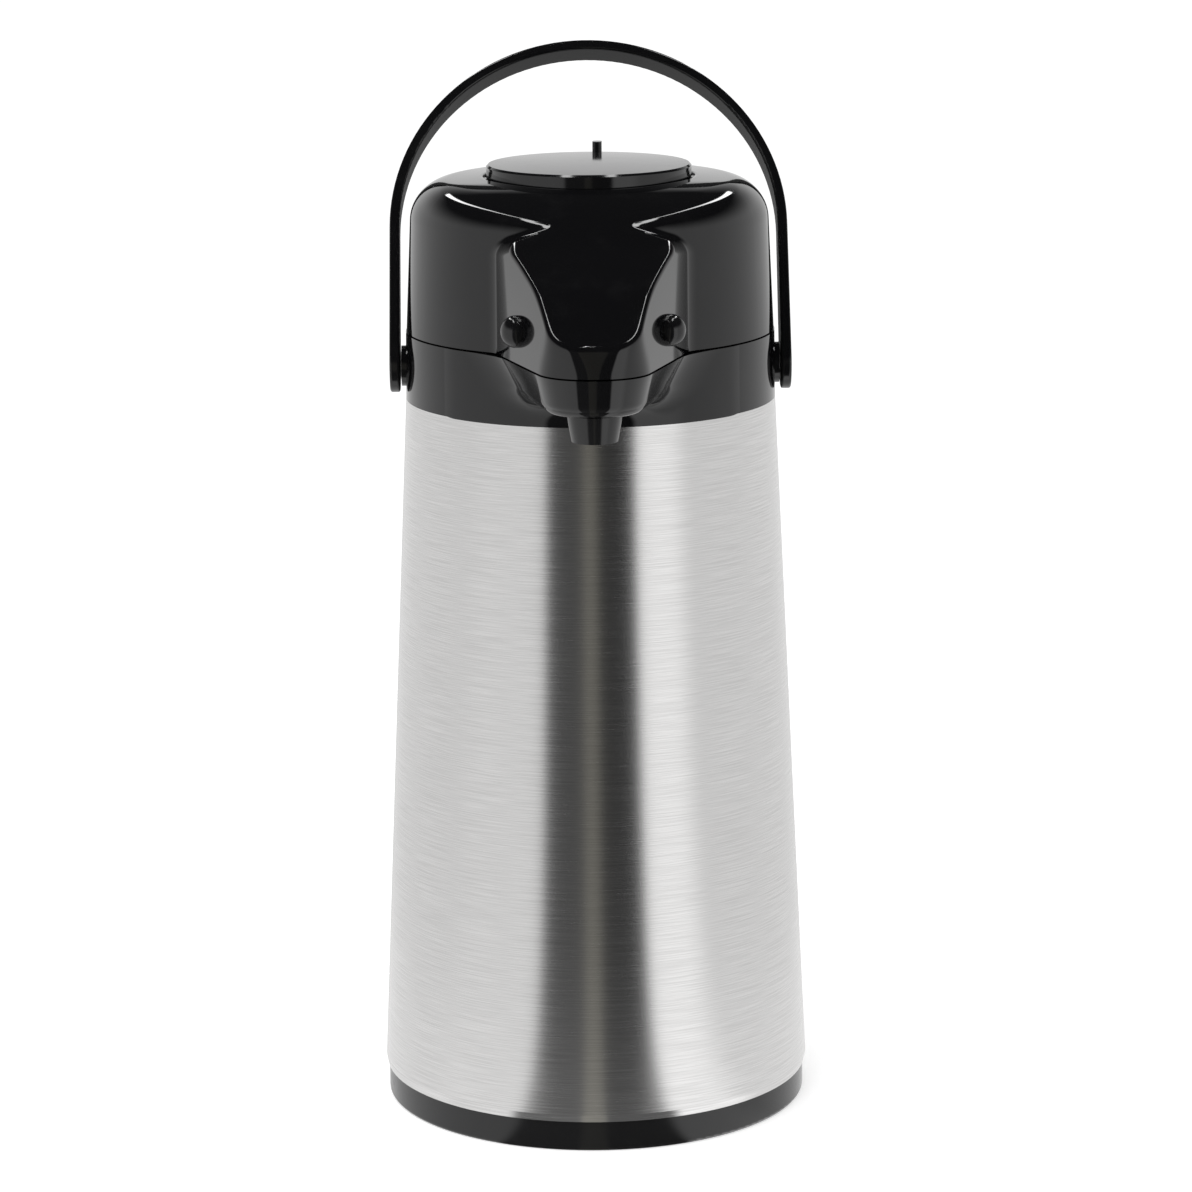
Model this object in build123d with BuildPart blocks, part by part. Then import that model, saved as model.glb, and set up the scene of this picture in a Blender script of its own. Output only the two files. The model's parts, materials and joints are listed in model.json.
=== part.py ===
from build123d import *
import os
from math import atan2, cos, radians, sin, sqrt, tan

os.makedirs("parts", exist_ok=True)

# The pot stands on Z = 0 and its axis is Z. The spout points to -Y, the lid's hinge is at +Y.
# All sizes are millimetres.

# Body sizes
base_r = 84.0
base_h = 12.1
base_wall = 6.0
base_floor_z = 3.0
base_floor_t = 3.0
base_floor_w = 30.0
foot_round = 1.5
cover_low_z = 1.0
cover_clear = 0.2
cover_rim = 3.0
cover_grip_w = 5.0
cover_pocket = 2.0
cover_flange_w = 4.0
cover_flange_t = 2.0
cushion_r = 42.0
cushion_t = 6.0
cushion_lip = 3.0
foot_step = 0.6
shell_foot_r = base_r + foot_step
shell_max_r = shell_foot_r + foot_step
shell_roll_h = 2.9
shell_top_r = 72.7
shell_top_z = 284.3
shell_t = 0.6
seat_gap = 0.3
spigot_h = 8.0
spigot_wall = 3.0

# Glass liner sizes
liner_r = 66.0
liner_z = 16.0
liner_shoulder_z = 254.0
liner_neck_z = 272.0
liner_neck_r = 33.0
glass_t = 2.0
vacuum_t = 2.5
liner_low_round = 34.0
liner_high_round = 16.0
glass_lip = 3.0

# Collar and jaw sizes
seam_z = 311.0
seam_gap = 0.6
collar_lean = 0.3
collar_top_r = shell_top_r - collar_lean
collar_wall = 2.6
floor_t = 2.5
gasket_h = 3.0
gasket_lip = 2.0
neck_hole_r = 28.0
chamber_r = 38.0
chamber_wall = 2.5
chamber_rim_z = 308.5
jaw_root_in = 18.7
jaw_root_y = jaw_root_in - shell_top_r
jaw_top_root = 39.5
jaw_top_tip = 16.0
jaw_reach = 53.3
jaw_tip_y = -shell_top_r - jaw_reach
jaw_tip_round = 20.0
jaw_low_z = 295.5
jaw_low_root = 31.0
jaw_low_tip = 14.5
jaw_low_back = 6.5
jaw_low_tip_y = jaw_tip_y + jaw_low_back
jaw_low_round = 17.0
jaw_wall = 2.4
jaw_low_wall = 3.6
jaw_floor_t = 2.2
jaw_edge_round = 4.0
ear_low_z = 299.0
ear_bite = 4.0

# Spout, pipe and siphon sizes
spout_back = 18.5
spout_y = jaw_tip_y + spout_back
spout_r = 10.5
spout_tip_r = 8.6
spout_low_z = 285.3
spout_neck_r = 8.0
spout_neck_wall = 1.2
pipe_z = 302.0
pipe_r = 4.0
pipe_bore_r = 2.8
pipe_bend_r = 8.0
pipe_end_z = 287.0
pipe_clear = 0.1
pipe_wall_clear = 1.0
pipe_socket = 1.2
grommet_t = 2.0
grommet_lip = 1.2
siphon_r = 5.0
siphon_bore_r = 3.5
siphon_low_z = 24.0
cage_r = 7.5
cage_low_z = 284.0
cage_socket_z = 294.0
cage_seat_z = 296.5
cage_top_z = 307.5
cage_roof_t = 1.5
cage_bore_r = 4.4
ball_r = 3.6
ball_seat_r = 2.6
ball_gap = 0.1
rim_in_r = 24.0
rim_out_r = 31.0
rib_w = 3.0
rib_h = 2.0

# Dome and nose sizes
dome_step = 0.3
dome_lean = 2.9
dome_foot_r = collar_top_r - dome_step
dome_top_r = dome_foot_r - dome_lean
dome_top_z = 373.6
dome_round = 17.0
dome_wall = 2.6
post_bite = 1.2
dome_neck_z = 364.0
nose_room_z = 358.0
roof_share = 1.2
knuckle_foot_z = 322.0
knuckle_bite = 0.6
knuckle_lean = 1.0
knuckle_drop = 0.5
knuckle_skin = 0.1
nose_draft = 3.0
nose_start_in = 52.7
nose_start_y = nose_start_in - shell_top_r
nose_start_z = 375.5
nose_crest_in = 38.7
nose_crest_y = nose_crest_in - shell_top_r
nose_crest_z = 373.6
nose_bend_in = 27.7
nose_bend_y = nose_bend_in - shell_top_r
nose_bend_z = 368.7
nose_waist_in = 12.7
nose_waist_y = nose_waist_in - shell_top_r
nose_waist_z = 362.6
nose_brow_out = 3.3
nose_brow_y = -shell_top_r - nose_brow_out
nose_brow_z = 354.2
nose_low_out = 27.3
nose_low_y = -shell_top_r - nose_low_out
nose_low_z = 338.2
nose_tip_z = 321.8
nose_set_back = 2.0
nose_front_y = jaw_tip_y + nose_set_back
nose_edge_round = 1.2
tip_back = 0.4
slope_run = 30.0
slope_fall = 0.7

# Pad and pump sizes
hole_r = 41.3
pad_gap = 1.24
pad_r = hole_r - pad_gap
pad_top_z = 375.7
pad_t = 3.2
pad_skirt_z = 368.0
pad_wall = 2.4
pad_crown = 0.9
pad_boss_r = 7.5
pad_boss_gap = 0.2
press = 18.0
fin_t = 3.7
fin_len = 5.0
fin_h = 4.4
fin_turn = 6.0
lug_out = 1.3
lug_r = hole_r + lug_out
lug_h = 2.2
lug_half = 4.0
lug_clear = 0.4
lock_turn = 40.0
guide_wall = 4.3
guide_r = hole_r + guide_wall
guide_low_z = 330.0
plunger_gap = 0.4
plunger_top_z = 367.6
plunger_low_z = 350.0
plunger_wall = 2.5
web_z = 352.0
web_t = 3.0
air_hole_r = 2.5
air_hole_at = 20.0
screw_r = 1.75
screw_head_r = 3.4
screw_head_h = 2.2
screw_play = 1.0
valve_half = 3.4
pad_edge = 0.8
fin_round = 1.5
fin_back = 0.6
fin_bite = 1.0
lug_bite = 1.0
pocket_bite = 2.0
running_gap = 0.05

# Lid plate sizes
plate_z = 311.5
plate_t = 2.5
plate_clear = 1.0
plate_r = dome_foot_r - dome_wall - plate_clear
plate_hole_r = 2.0
plate_hole_ring_r = 5.5
seal_in_r = 36.5
seal_out_r = 42.0
bellows_r = 34.0
bellows_root_r = 28.5
bellows_t = 1.0
bellows_folds = 6
plate_rim_w = 1.7
plate_rim_h = 3.0
fold_wall = 1.6
flap_t = 1.0
flap_in_r = 0.8
flap_out_r = 9.0
spring_end = 0.1
spring_r = 15.5
spring_wire = 0.8
spring_turns = 7
screw_post_in = 17.1
post_at = dome_foot_r - screw_post_in
post_r = 4.2
lid_screw_r = 1.7
lid_screw_head_r = 3.2
lid_screw_len = 14.0
lid_screw_head_h = 1.8
cross_len = 4.0
cross_w = 0.9
cross_deep = 1.1

# Reach of the tools that cut past a face, and the drawing space above the dome
cut_over = 1.0
far = 200.0
sky_z = 420.0

# Hinge sizes
hinge_out = 4.8
hinge_y = shell_top_r + hinge_out
hinge_z = 313.0
knuckle_r = 4.0
knuckle_half = 9.7
knuckle_gap = 0.3
ear_w = 12.0
hinge_pin_r = 1.5

# Handle sizes
pivot_z = 296.6
handle_lean = 28.0
arch_t = 4.0
arm_gap = 0.6
arch_up = 56.0
strap_w = 13.0
hub_r = 10.4
stud_r = 4.0
boss_r = 8.0
boss_proud = 1.5
boss_deep = 6.7
boss_out = shell_top_r + boss_proud
boss_in = shell_top_r - boss_deep
arch_r = boss_out + arm_gap + arch_t
bush_r = 5.5
bush_in = boss_in + 0.5
bush_out = boss_out + 0.2
stud_bite = 0.5
handle_round = 1.0

# Release button sizes
button_out_y = 14.3
button_y = -shell_top_r - button_out_y
button_z = 323.3
button_r = 6.1
button_out = 6.6
button_clear = 0.2
button_round = 5.8
flange_in = 3.0
flange_r = 7.5
flange_t = 1.6
shank_in = 10.0
leg_w = 8.0
leg_t = 2.0
leg_low_z = 302.5
barb_out = 1.5
barb_h = 2.5
latch_spring_r = 3.6
latch_spring_wire = 0.5
latch_spring_turns = 5
post_in = 20.0
post_half = 6.0
post_low_z = 315.5


def ring(r_in, r_out, z_low, z_high):
    """A plain round ring about Z, made outside any builder."""
    with BuildPart() as turned:
        with BuildSketch(Plane.XY.offset(z_low)):
            Circle(r_out)
            Circle(r_in, mode=Mode.SUBTRACT)
        extrude(amount=z_high - z_low)
    return turned.part


def nose_outline(root, tip, tip_y, tip_round, inset):
    """Plan of the nose: straight sides, rounded tip, moved inwards by inset."""
    slope = (root - tip) / (jaw_root_y - tip_y)
    side = inset * sqrt(1 + slope * slope)
    with BuildSketch(mode=Mode.PRIVATE) as plan:
        with BuildLine():
            front = tip_y + inset
            half = tip + slope * (front - tip_y) - side
            Polyline(
                (-(root - side), jaw_root_y), (-half, front), (half, front), (root - side, jaw_root_y), close=True
            )
        make_face()
        fillet(plan.vertices().group_by(Axis.Y)[0], tip_round - inset)
    return plan.sketch_local


def bottle_face(inset, top_z):
    """Half section of the flask at one depth below its outer skin."""
    with BuildSketch(mode=Mode.PRIVATE) as half:
        with BuildLine():
            Polyline(
                (0, liner_z + inset),
                (liner_r - inset, liner_z + inset),
                (liner_r - inset, liner_shoulder_z),
                (liner_neck_r - inset, liner_neck_z),
                (liner_neck_r - inset, top_z),
                (0, top_z),
                close=True,
            )
        make_face()
        fillet(half.vertices().group_by(Axis.X)[-1].sort_by(Axis.Y)[0], liner_low_round - inset)
        fillet(half.vertices().group_by(Axis.X)[-1].sort_by(Axis.Y)[-1], liner_high_round - inset)
    return half.sketch_local


def nose_top_face(drop):
    """Side view of all that lies above the sloping top of the nose, lowered by drop."""
    line = [
        (nose_start_y, nose_start_z),
        (nose_crest_y, nose_crest_z),
        (nose_bend_y, nose_bend_z),
        (nose_waist_y, nose_waist_z),
        (nose_brow_y, nose_brow_z),
        (nose_low_y, nose_low_z),
    ]
    points = [(y, z - drop) for y, z in line]
    tip = (nose_front_y + drop * tip_back, nose_tip_z - drop)
    slope_end = (tip[0] - slope_run, tip[1] - slope_run * slope_fall)
    with BuildSketch(mode=Mode.PRIVATE) as side:
        with BuildLine():
            Spline(*points, tip)
            Polyline(tip, slope_end, (slope_end[0], sky_z), (points[0][0], sky_z), points[0])
        make_face()
    return side.sketch_local


side_turn = atan2(jaw_top_root - jaw_top_tip, jaw_root_y - jaw_tip_y)
liner_top_z = shell_top_z
floor_low_z = liner_top_z + gasket_h
floor_z = floor_low_z + floor_t
collar_top_z = seam_z - seam_gap / 2
dome_low_z = seam_z + seam_gap / 2
jaw_floor_z = jaw_low_z + jaw_floor_t


# Foot of the pot
with BuildPart() as base_ring:
    with BuildSketch(Plane.XZ):
        with BuildLine():
            in_r = shell_foot_r - shell_t - seat_gap
            Polyline(
                (base_r - base_wall, 0),
                (base_r, 0),
                (base_r, base_h),
                (in_r, base_h),
                (in_r, base_h + spigot_h),
                (in_r - spigot_wall, base_h + spigot_h),
                (in_r - spigot_wall, base_floor_z + base_floor_t),
                (base_r - base_wall - base_floor_w, base_floor_z + base_floor_t),
                (base_r - base_wall - base_floor_w, base_floor_z),
                (base_r - base_wall, base_floor_z),
                close=True,
            )
        make_face()
    revolve(axis=Axis.Z)
    foot_edge = base_ring.edges().filter_by(GeomType.CIRCLE).group_by(Axis.Z)[0].sort_by(SortBy.RADIUS)[-1]
    fillet(foot_edge, foot_round)
base_ring.part.label = "base_ring"
export_step(base_ring.part, "parts/base_ring.step")

cover_r = base_r - base_wall - base_floor_w - cover_clear
with BuildPart() as bottom_cover:
    with BuildSketch(Plane.XY.offset(cover_low_z)):
        Circle(cover_r)
    extrude(amount=liner_z - cushion_t - cover_low_z)
    with BuildSketch(Plane.XY.offset(cover_low_z)):
        Circle(cover_r - cover_rim)
        Rectangle(2 * cover_r, cover_grip_w, mode=Mode.SUBTRACT)
    extrude(amount=cover_pocket, mode=Mode.SUBTRACT)
    with BuildSketch(Plane.XY.offset(base_floor_z + base_floor_t + seat_gap)):
        Circle(cover_r + cover_flange_w)
        Circle(cover_r, mode=Mode.SUBTRACT)
    extrude(amount=cover_flange_t)
bottom_cover.part.label = "bottom_cover"
export_step(bottom_cover.part, "parts/bottom_cover.step")

# Rubber cup between the cover and the flask's round bottom
with BuildPart() as liner_cushion:
    with BuildSketch(Plane.XY.offset(liner_z - cushion_t)):
        Circle(cushion_r)
    extrude(amount=cushion_t + cushion_lip)
    with BuildSketch(Plane.XZ):
        add(bottle_face(-seat_gap, liner_top_z))
    revolve(axis=Axis.Z, mode=Mode.SUBTRACT)
liner_cushion.part.label = "liner_cushion"
export_step(liner_cushion.part, "parts/liner_cushion.step")

# Tapered steel jacket with a foot that is rolled in
with BuildPart() as steel_shell:
    with BuildSketch(Plane.XZ):
        with BuildLine():
            foot_z = base_h + shell_roll_h
            Polyline(
                (shell_foot_r - shell_t, base_h),
                (shell_foot_r, base_h),
                (shell_max_r, foot_z),
                (shell_top_r, shell_top_z),
                (shell_top_r - shell_t, shell_top_z),
                (shell_max_r - shell_t, foot_z),
                close=True,
            )
        make_face()
    revolve(axis=Axis.Z)
steel_shell.part.label = "steel_shell"
export_step(steel_shell.part, "parts/steel_shell.step")

# Double-walled glass flask with its sealed space
with BuildPart() as glass_liner:
    with BuildSketch(Plane.XZ):
        add(bottle_face(0, liner_top_z))
        add(bottle_face(2 * glass_t + vacuum_t, liner_top_z + cut_over), mode=Mode.SUBTRACT)
    revolve(axis=Axis.Z)
    with BuildSketch(Plane.XZ):
        add(bottle_face(glass_t, liner_top_z - glass_lip))
        add(bottle_face(glass_t + vacuum_t, liner_top_z), mode=Mode.SUBTRACT)
    revolve(axis=Axis.Z, mode=Mode.SUBTRACT)
glass_liner.part.label = "glass_liner"
export_step(glass_liner.part, "parts/glass_liner.step")

neck_bore_r = liner_neck_r - 2 * glass_t - vacuum_t
with BuildPart() as neck_gasket:
    add(ring(neck_bore_r, liner_neck_r + gasket_lip, liner_top_z, floor_low_z))
neck_gasket.part.label = "neck_gasket"
export_step(neck_gasket.part, "parts/neck_gasket.step")

# Room inside the jaw for the pipe and the latch legs
collar_well_r = collar_top_r - collar_wall
with BuildPart() as jaw_room:
    with BuildSketch(Plane.XY.offset(collar_top_z)):
        add(nose_outline(jaw_top_root, jaw_top_tip, jaw_tip_y, jaw_tip_round, jaw_wall))
    with BuildSketch(Plane.XY.offset(jaw_floor_z)):
        add(nose_outline(jaw_low_root, jaw_low_tip, jaw_low_tip_y, jaw_low_round, jaw_low_wall))
    loft()
    with BuildSketch(Plane.XY.offset(jaw_floor_z - cut_over)):
        Circle(collar_top_r)
    extrude(amount=seam_z - jaw_floor_z + 2 * cut_over, mode=Mode.SUBTRACT)

# Shoulder ring with the jaw, the filling well, the hinge ears and the handle bosses
spigot_r = shell_top_r - shell_t - seat_gap
with BuildPart() as collar:
    with BuildSketch(Plane.XZ):
        with BuildLine():
            Polyline(
                (shell_top_r, shell_top_z),
                (collar_top_r, collar_top_z),
                (0, collar_top_z),
                (0, shell_top_z),
                close=True,
            )
        make_face()
    revolve(axis=Axis.Z)
    with BuildSketch(Plane.XY.offset(collar_top_z)):
        add(nose_outline(jaw_top_root, jaw_top_tip, jaw_tip_y, jaw_tip_round, 0))
    with BuildSketch(Plane.XY.offset(jaw_low_z)):
        add(nose_outline(jaw_low_root, jaw_low_tip, jaw_low_tip_y, jaw_low_round, 0))
    loft()
    under = collar.faces().filter_by(Axis.Z).filter_by_position(Axis.Z, jaw_low_z - 0.1, jaw_low_z + 0.1)
    fillet(under.edges().filter_by_position(Axis.Y, -far, -shell_top_r - jaw_wall), jaw_edge_round)
    with BuildSketch(Plane.XY.offset(shell_top_z)):
        Circle(spigot_r)
    extrude(amount=-spigot_h)
    with Locations(Location((0, 0, pivot_z))):
        Cylinder(boss_r, 2 * boss_out, rotation=(0, 90, 0))
    for side in (-1, 1):
        with BuildSketch(Plane.YZ.offset(side * (knuckle_half + knuckle_gap))):
            with Locations((hinge_y, hinge_z)):
                Circle(knuckle_r)
            with BuildLine():
                Polyline(
                    (spigot_r - ear_bite, ear_low_z),
                    (shell_top_r - seat_gap, ear_low_z),
                    (hinge_y + knuckle_r, hinge_z - 1.0),
                    (hinge_y + knuckle_r, hinge_z),
                    (hinge_y - knuckle_r, hinge_z),
                    (hinge_y - knuckle_r, collar_top_z),
                    (spigot_r - ear_bite, collar_top_z),
                    close=True,
                )
            make_face()
        extrude(amount=side * ear_w)
    with BuildSketch(Plane.XY.offset(floor_z)):
        Circle(collar_top_r - collar_wall)
        Circle(chamber_r + chamber_wall, mode=Mode.SUBTRACT)
    extrude(amount=collar_top_z - floor_z, mode=Mode.SUBTRACT)
    with BuildSketch(Plane.XY.offset(floor_z)):
        Circle(chamber_r)
    extrude(amount=collar_top_z - floor_z, mode=Mode.SUBTRACT)
    with BuildSketch(Plane.XY.offset(chamber_rim_z)):
        Circle(chamber_r + chamber_wall + cut_over)
    extrude(amount=collar_top_z - chamber_rim_z, mode=Mode.SUBTRACT)
    with BuildSketch(Plane.XY.offset(shell_top_z - spigot_h)):
        Circle(spigot_r - spigot_wall)
    extrude(amount=floor_low_z - shell_top_z + spigot_h, mode=Mode.SUBTRACT)
    with BuildSketch(Plane.XY.offset(floor_low_z)):
        Circle(neck_hole_r)
    extrude(amount=floor_t, mode=Mode.SUBTRACT)
    for side in (-1, 1):
        with BuildSketch(Plane.YZ.offset(side * boss_in)):
            with Locations((0, pivot_z)):
                Circle(boss_r)
        extrude(amount=side * (shell_top_r - collar_wall - boss_in))
    add(jaw_room.part, mode=Mode.SUBTRACT)
    with BuildSketch(Plane.XZ.offset(chamber_r - 2 * cut_over)):
        with Locations((0, pipe_z)):
            Circle(pipe_r + grommet_t)
    extrude(amount=chamber_wall + 3 * cut_over, mode=Mode.SUBTRACT)
    with BuildSketch(Plane.XZ.offset(collar_well_r - cut_over)):
        with Locations((0, pipe_z)):
            Circle(pipe_r + pipe_wall_clear)
    extrude(amount=collar_wall + 2 * cut_over, mode=Mode.SUBTRACT)
    with BuildSketch(Plane.XY.offset(jaw_low_z)):
        with Locations((0, spout_y)):
            Circle(spout_neck_r)
    extrude(amount=jaw_floor_t, mode=Mode.SUBTRACT)
    with Locations(Location((0, 0, pivot_z))):
        Cylinder(bush_r + running_gap, 2 * boss_out, rotation=(0, 90, 0), mode=Mode.SUBTRACT)
    for side in (-1, 1):
        with BuildSketch(Plane.YZ.offset(side * knuckle_half)):
            with Locations((hinge_y, hinge_z)):
                Circle(hinge_pin_r)
        extrude(amount=side * (ear_w + cut_over), mode=Mode.SUBTRACT)
collar.part.label = "collar"
export_step(collar.part, "parts/collar.step")

# Spider and ball cage in the neck
with BuildPart() as tube_holder:
    add(ring(rim_in_r, rim_out_r, floor_z, floor_z + rib_h))
    with BuildSketch(Plane.XY.offset(floor_z)):
        with PolarLocations(rim_in_r / 2, 3, start_angle=90):
            Rectangle(rim_in_r + cut_over, rib_w)
    extrude(amount=rib_h)
    with BuildSketch(Plane.XY.offset(cage_low_z)):
        Circle(cage_r)
    extrude(amount=cage_top_z - cage_low_z)
    with BuildSketch(Plane.XY.offset(cage_low_z)):
        Circle(siphon_r)
    extrude(amount=cage_socket_z - cage_low_z, mode=Mode.SUBTRACT)
    with BuildSketch(Plane.XY.offset(cage_socket_z)):
        Circle(ball_seat_r)
    extrude(amount=cage_seat_z - cage_socket_z, mode=Mode.SUBTRACT)
    with BuildSketch(Plane.XY.offset(cage_seat_z)):
        Circle(cage_bore_r)
    extrude(amount=cage_top_z - cage_roof_t - cage_seat_z, mode=Mode.SUBTRACT)
    with BuildSketch(Plane.XZ):
        with Locations((0, pipe_z)):
            Circle(pipe_bore_r)
    extrude(amount=cage_r + cut_over, mode=Mode.SUBTRACT)
    with BuildSketch(Plane.XZ.offset(cage_bore_r + pipe_socket)):
        with Locations((0, pipe_z)):
            Circle(pipe_r)
    extrude(amount=cage_r, mode=Mode.SUBTRACT)
tube_holder.part.label = "tube_holder"
export_step(tube_holder.part, "parts/tube_holder.step")

ball_z = cage_seat_z + sqrt(ball_r**2 - ball_seat_r**2) + ball_gap
with BuildPart() as outlet_ball:
    with Locations((0, 0, ball_z)):
        Sphere(ball_r)
outlet_ball.part.label = "outlet_ball"
export_step(outlet_ball.part, "parts/outlet_ball.step")

with BuildPart() as siphon_tube:
    with BuildSketch(Plane.XY.offset(siphon_low_z)):
        Circle(siphon_r)
        Circle(siphon_bore_r, mode=Mode.SUBTRACT)
    extrude(amount=cage_socket_z - siphon_low_z)
siphon_tube.part.label = "siphon_tube"
export_step(siphon_tube.part, "parts/siphon_tube.step")

# Pipe from the cage to the spout, turned down at its end
pipe_start = cage_bore_r + pipe_socket
with BuildPart() as outlet_pipe:
    with BuildLine() as route:
        Polyline(
            (0, -pipe_start, pipe_z), (0, spout_y + pipe_bend_r, pipe_z)
        )
        TangentArc(
            (0, spout_y + pipe_bend_r, pipe_z), (0, spout_y, pipe_z - pipe_bend_r), tangent=(0, -1, 0)
        )
        Line((0, spout_y, pipe_z - pipe_bend_r), (0, spout_y, pipe_end_z))
    with BuildSketch(Plane.XZ.offset(pipe_start)):
        with Locations((0, pipe_z)):
            Circle(pipe_r)
            Circle(pipe_bore_r, mode=Mode.SUBTRACT)
    sweep(path=route.wire())
outlet_pipe.part.label = "outlet_pipe"
export_step(outlet_pipe.part, "parts/outlet_pipe.step")

with BuildPart() as pipe_grommet:
    with BuildSketch(Plane.XZ.offset(chamber_r - grommet_lip)):
        with Locations((0, pipe_z)):
            Circle(pipe_r + grommet_t)
            Circle(pipe_r, mode=Mode.SUBTRACT)
    extrude(amount=chamber_wall + 2 * grommet_lip)
pipe_grommet.part.label = "pipe_grommet"
export_step(pipe_grommet.part, "parts/pipe_grommet.step")

with BuildPart() as spout_tip:
    with BuildSketch(Plane.XY.offset(jaw_low_z)):
        with Locations((0, spout_y)):
            Circle(spout_r)
    with BuildSketch(Plane.XY.offset(spout_low_z)):
        with Locations((0, spout_y)):
            Circle(spout_tip_r)
    loft()
    with BuildSketch(Plane.XY.offset(jaw_low_z)):
        with Locations((0, spout_y)):
            Circle(spout_neck_r)
    extrude(amount=jaw_floor_t)
    with BuildSketch(Plane.XY.offset(spout_low_z)):
        with Locations((0, spout_y)):
            Circle(pipe_r + pipe_clear)
    extrude(amount=far, mode=Mode.SUBTRACT)
    with BuildSketch(Plane.XY.offset(pipe_z - pipe_bend_r - seat_gap)):
        with Locations((0, spout_y)):
            Circle(spout_neck_r - spout_neck_wall)
    extrude(amount=far, mode=Mode.SUBTRACT)
spout_tip.part.label = "spout_tip"
export_step(spout_tip.part, "parts/spout_tip.step")

with BuildPart() as hinge_pin:
    with BuildSketch(Plane.YZ.offset(-(knuckle_half + knuckle_gap + ear_w))):
        with Locations((hinge_y, hinge_z)):
            Circle(hinge_pin_r)
    extrude(amount=2 * (knuckle_half + knuckle_gap + ear_w))
hinge_pin.part.label = "hinge_pin"
export_step(hinge_pin.part, "parts/hinge_pin.step")


def dome_face(inset):
    """Half section of the dome, moved inwards by inset."""
    with BuildSketch(mode=Mode.PRIVATE) as half:
        with BuildLine():
            Polyline(
                (0, dome_low_z),
                (dome_foot_r - inset, dome_low_z),
                (dome_top_r - inset, dome_top_z - inset),
                (0, dome_top_z - inset),
                close=True,
            )
        make_face()
        fillet(half.vertices().group_by(Axis.Y)[-1].sort_by(Axis.X)[-1], dome_round - inset)
    return half.sketch_local


# Where the side buttons cross the nose's side walls
side_half = jaw_top_root - (jaw_root_y - button_y) * tan(side_turn) - (button_z - seam_z) * tan(radians(nose_draft))
out_dir = {side: Vector(side * cos(side_turn), -sin(side_turn), 0) for side in (-1, 1)}
wall_point = {side: Vector(side * side_half, button_y, button_z) for side in (-1, 1)}


def button_plane(side, depth):
    """Plane across a button's axis, at a depth below the nose's skin, facing inwards."""
    inwards = out_dir[side] * -1
    return Plane(origin=wall_point[side] + inwards * depth, x_dir=(0, 0, 1), z_dir=inwards)


# Room inside the dome and the nose
with BuildPart() as dome_room:
    with BuildSketch(Plane.XZ):
        add(dome_face(dome_wall))
    revolve(axis=Axis.Z)
    with BuildSketch(Plane.XY.offset(dome_low_z)):
        add(nose_outline(jaw_top_root, jaw_top_tip, jaw_tip_y, jaw_tip_round, dome_wall))
    extrude(amount=nose_room_z - dome_low_z, taper=nose_draft)
    with BuildSketch(Plane.YZ.offset(-far / 2)):
        add(nose_top_face(dome_wall * roof_share))
    extrude(amount=far, mode=Mode.SUBTRACT)

# Pad guide, screw posts and the latch springs' post, all hanging from the roof
with BuildPart() as dome_posts:
    with BuildSketch(Plane.XY.offset(guide_low_z)):
        Circle(guide_r)
    extrude(amount=dome_top_z - post_bite - guide_low_z)
    with BuildSketch(Plane.XY.offset(plate_z + plate_t)):
        with PolarLocations(post_at, 4, start_angle=45):
            Circle(post_r)
    extrude(amount=dome_top_z - post_bite - plate_z - plate_t)
    with BuildSketch(Plane.XY.offset(post_low_z)):
        with BuildLine():
            corner = {}
            for side in (-1, 1):
                along = Vector(out_dir[side].Y, -out_dir[side].X, 0) * side
                face_mid = wall_point[side] - out_dir[side] * post_in
                corner[side] = [face_mid + along * post_half, face_mid - along * post_half]
            Polyline(*[(p.X, p.Y) for p in corner[1] + corner[-1][::-1]], close=True)
        make_face()
    extrude(amount=dome_top_z - post_bite - post_low_z)
    with BuildSketch(Plane.YZ.offset(-far / 2)):
        add(nose_top_face(post_bite))
    extrude(amount=far, mode=Mode.SUBTRACT)

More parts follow.
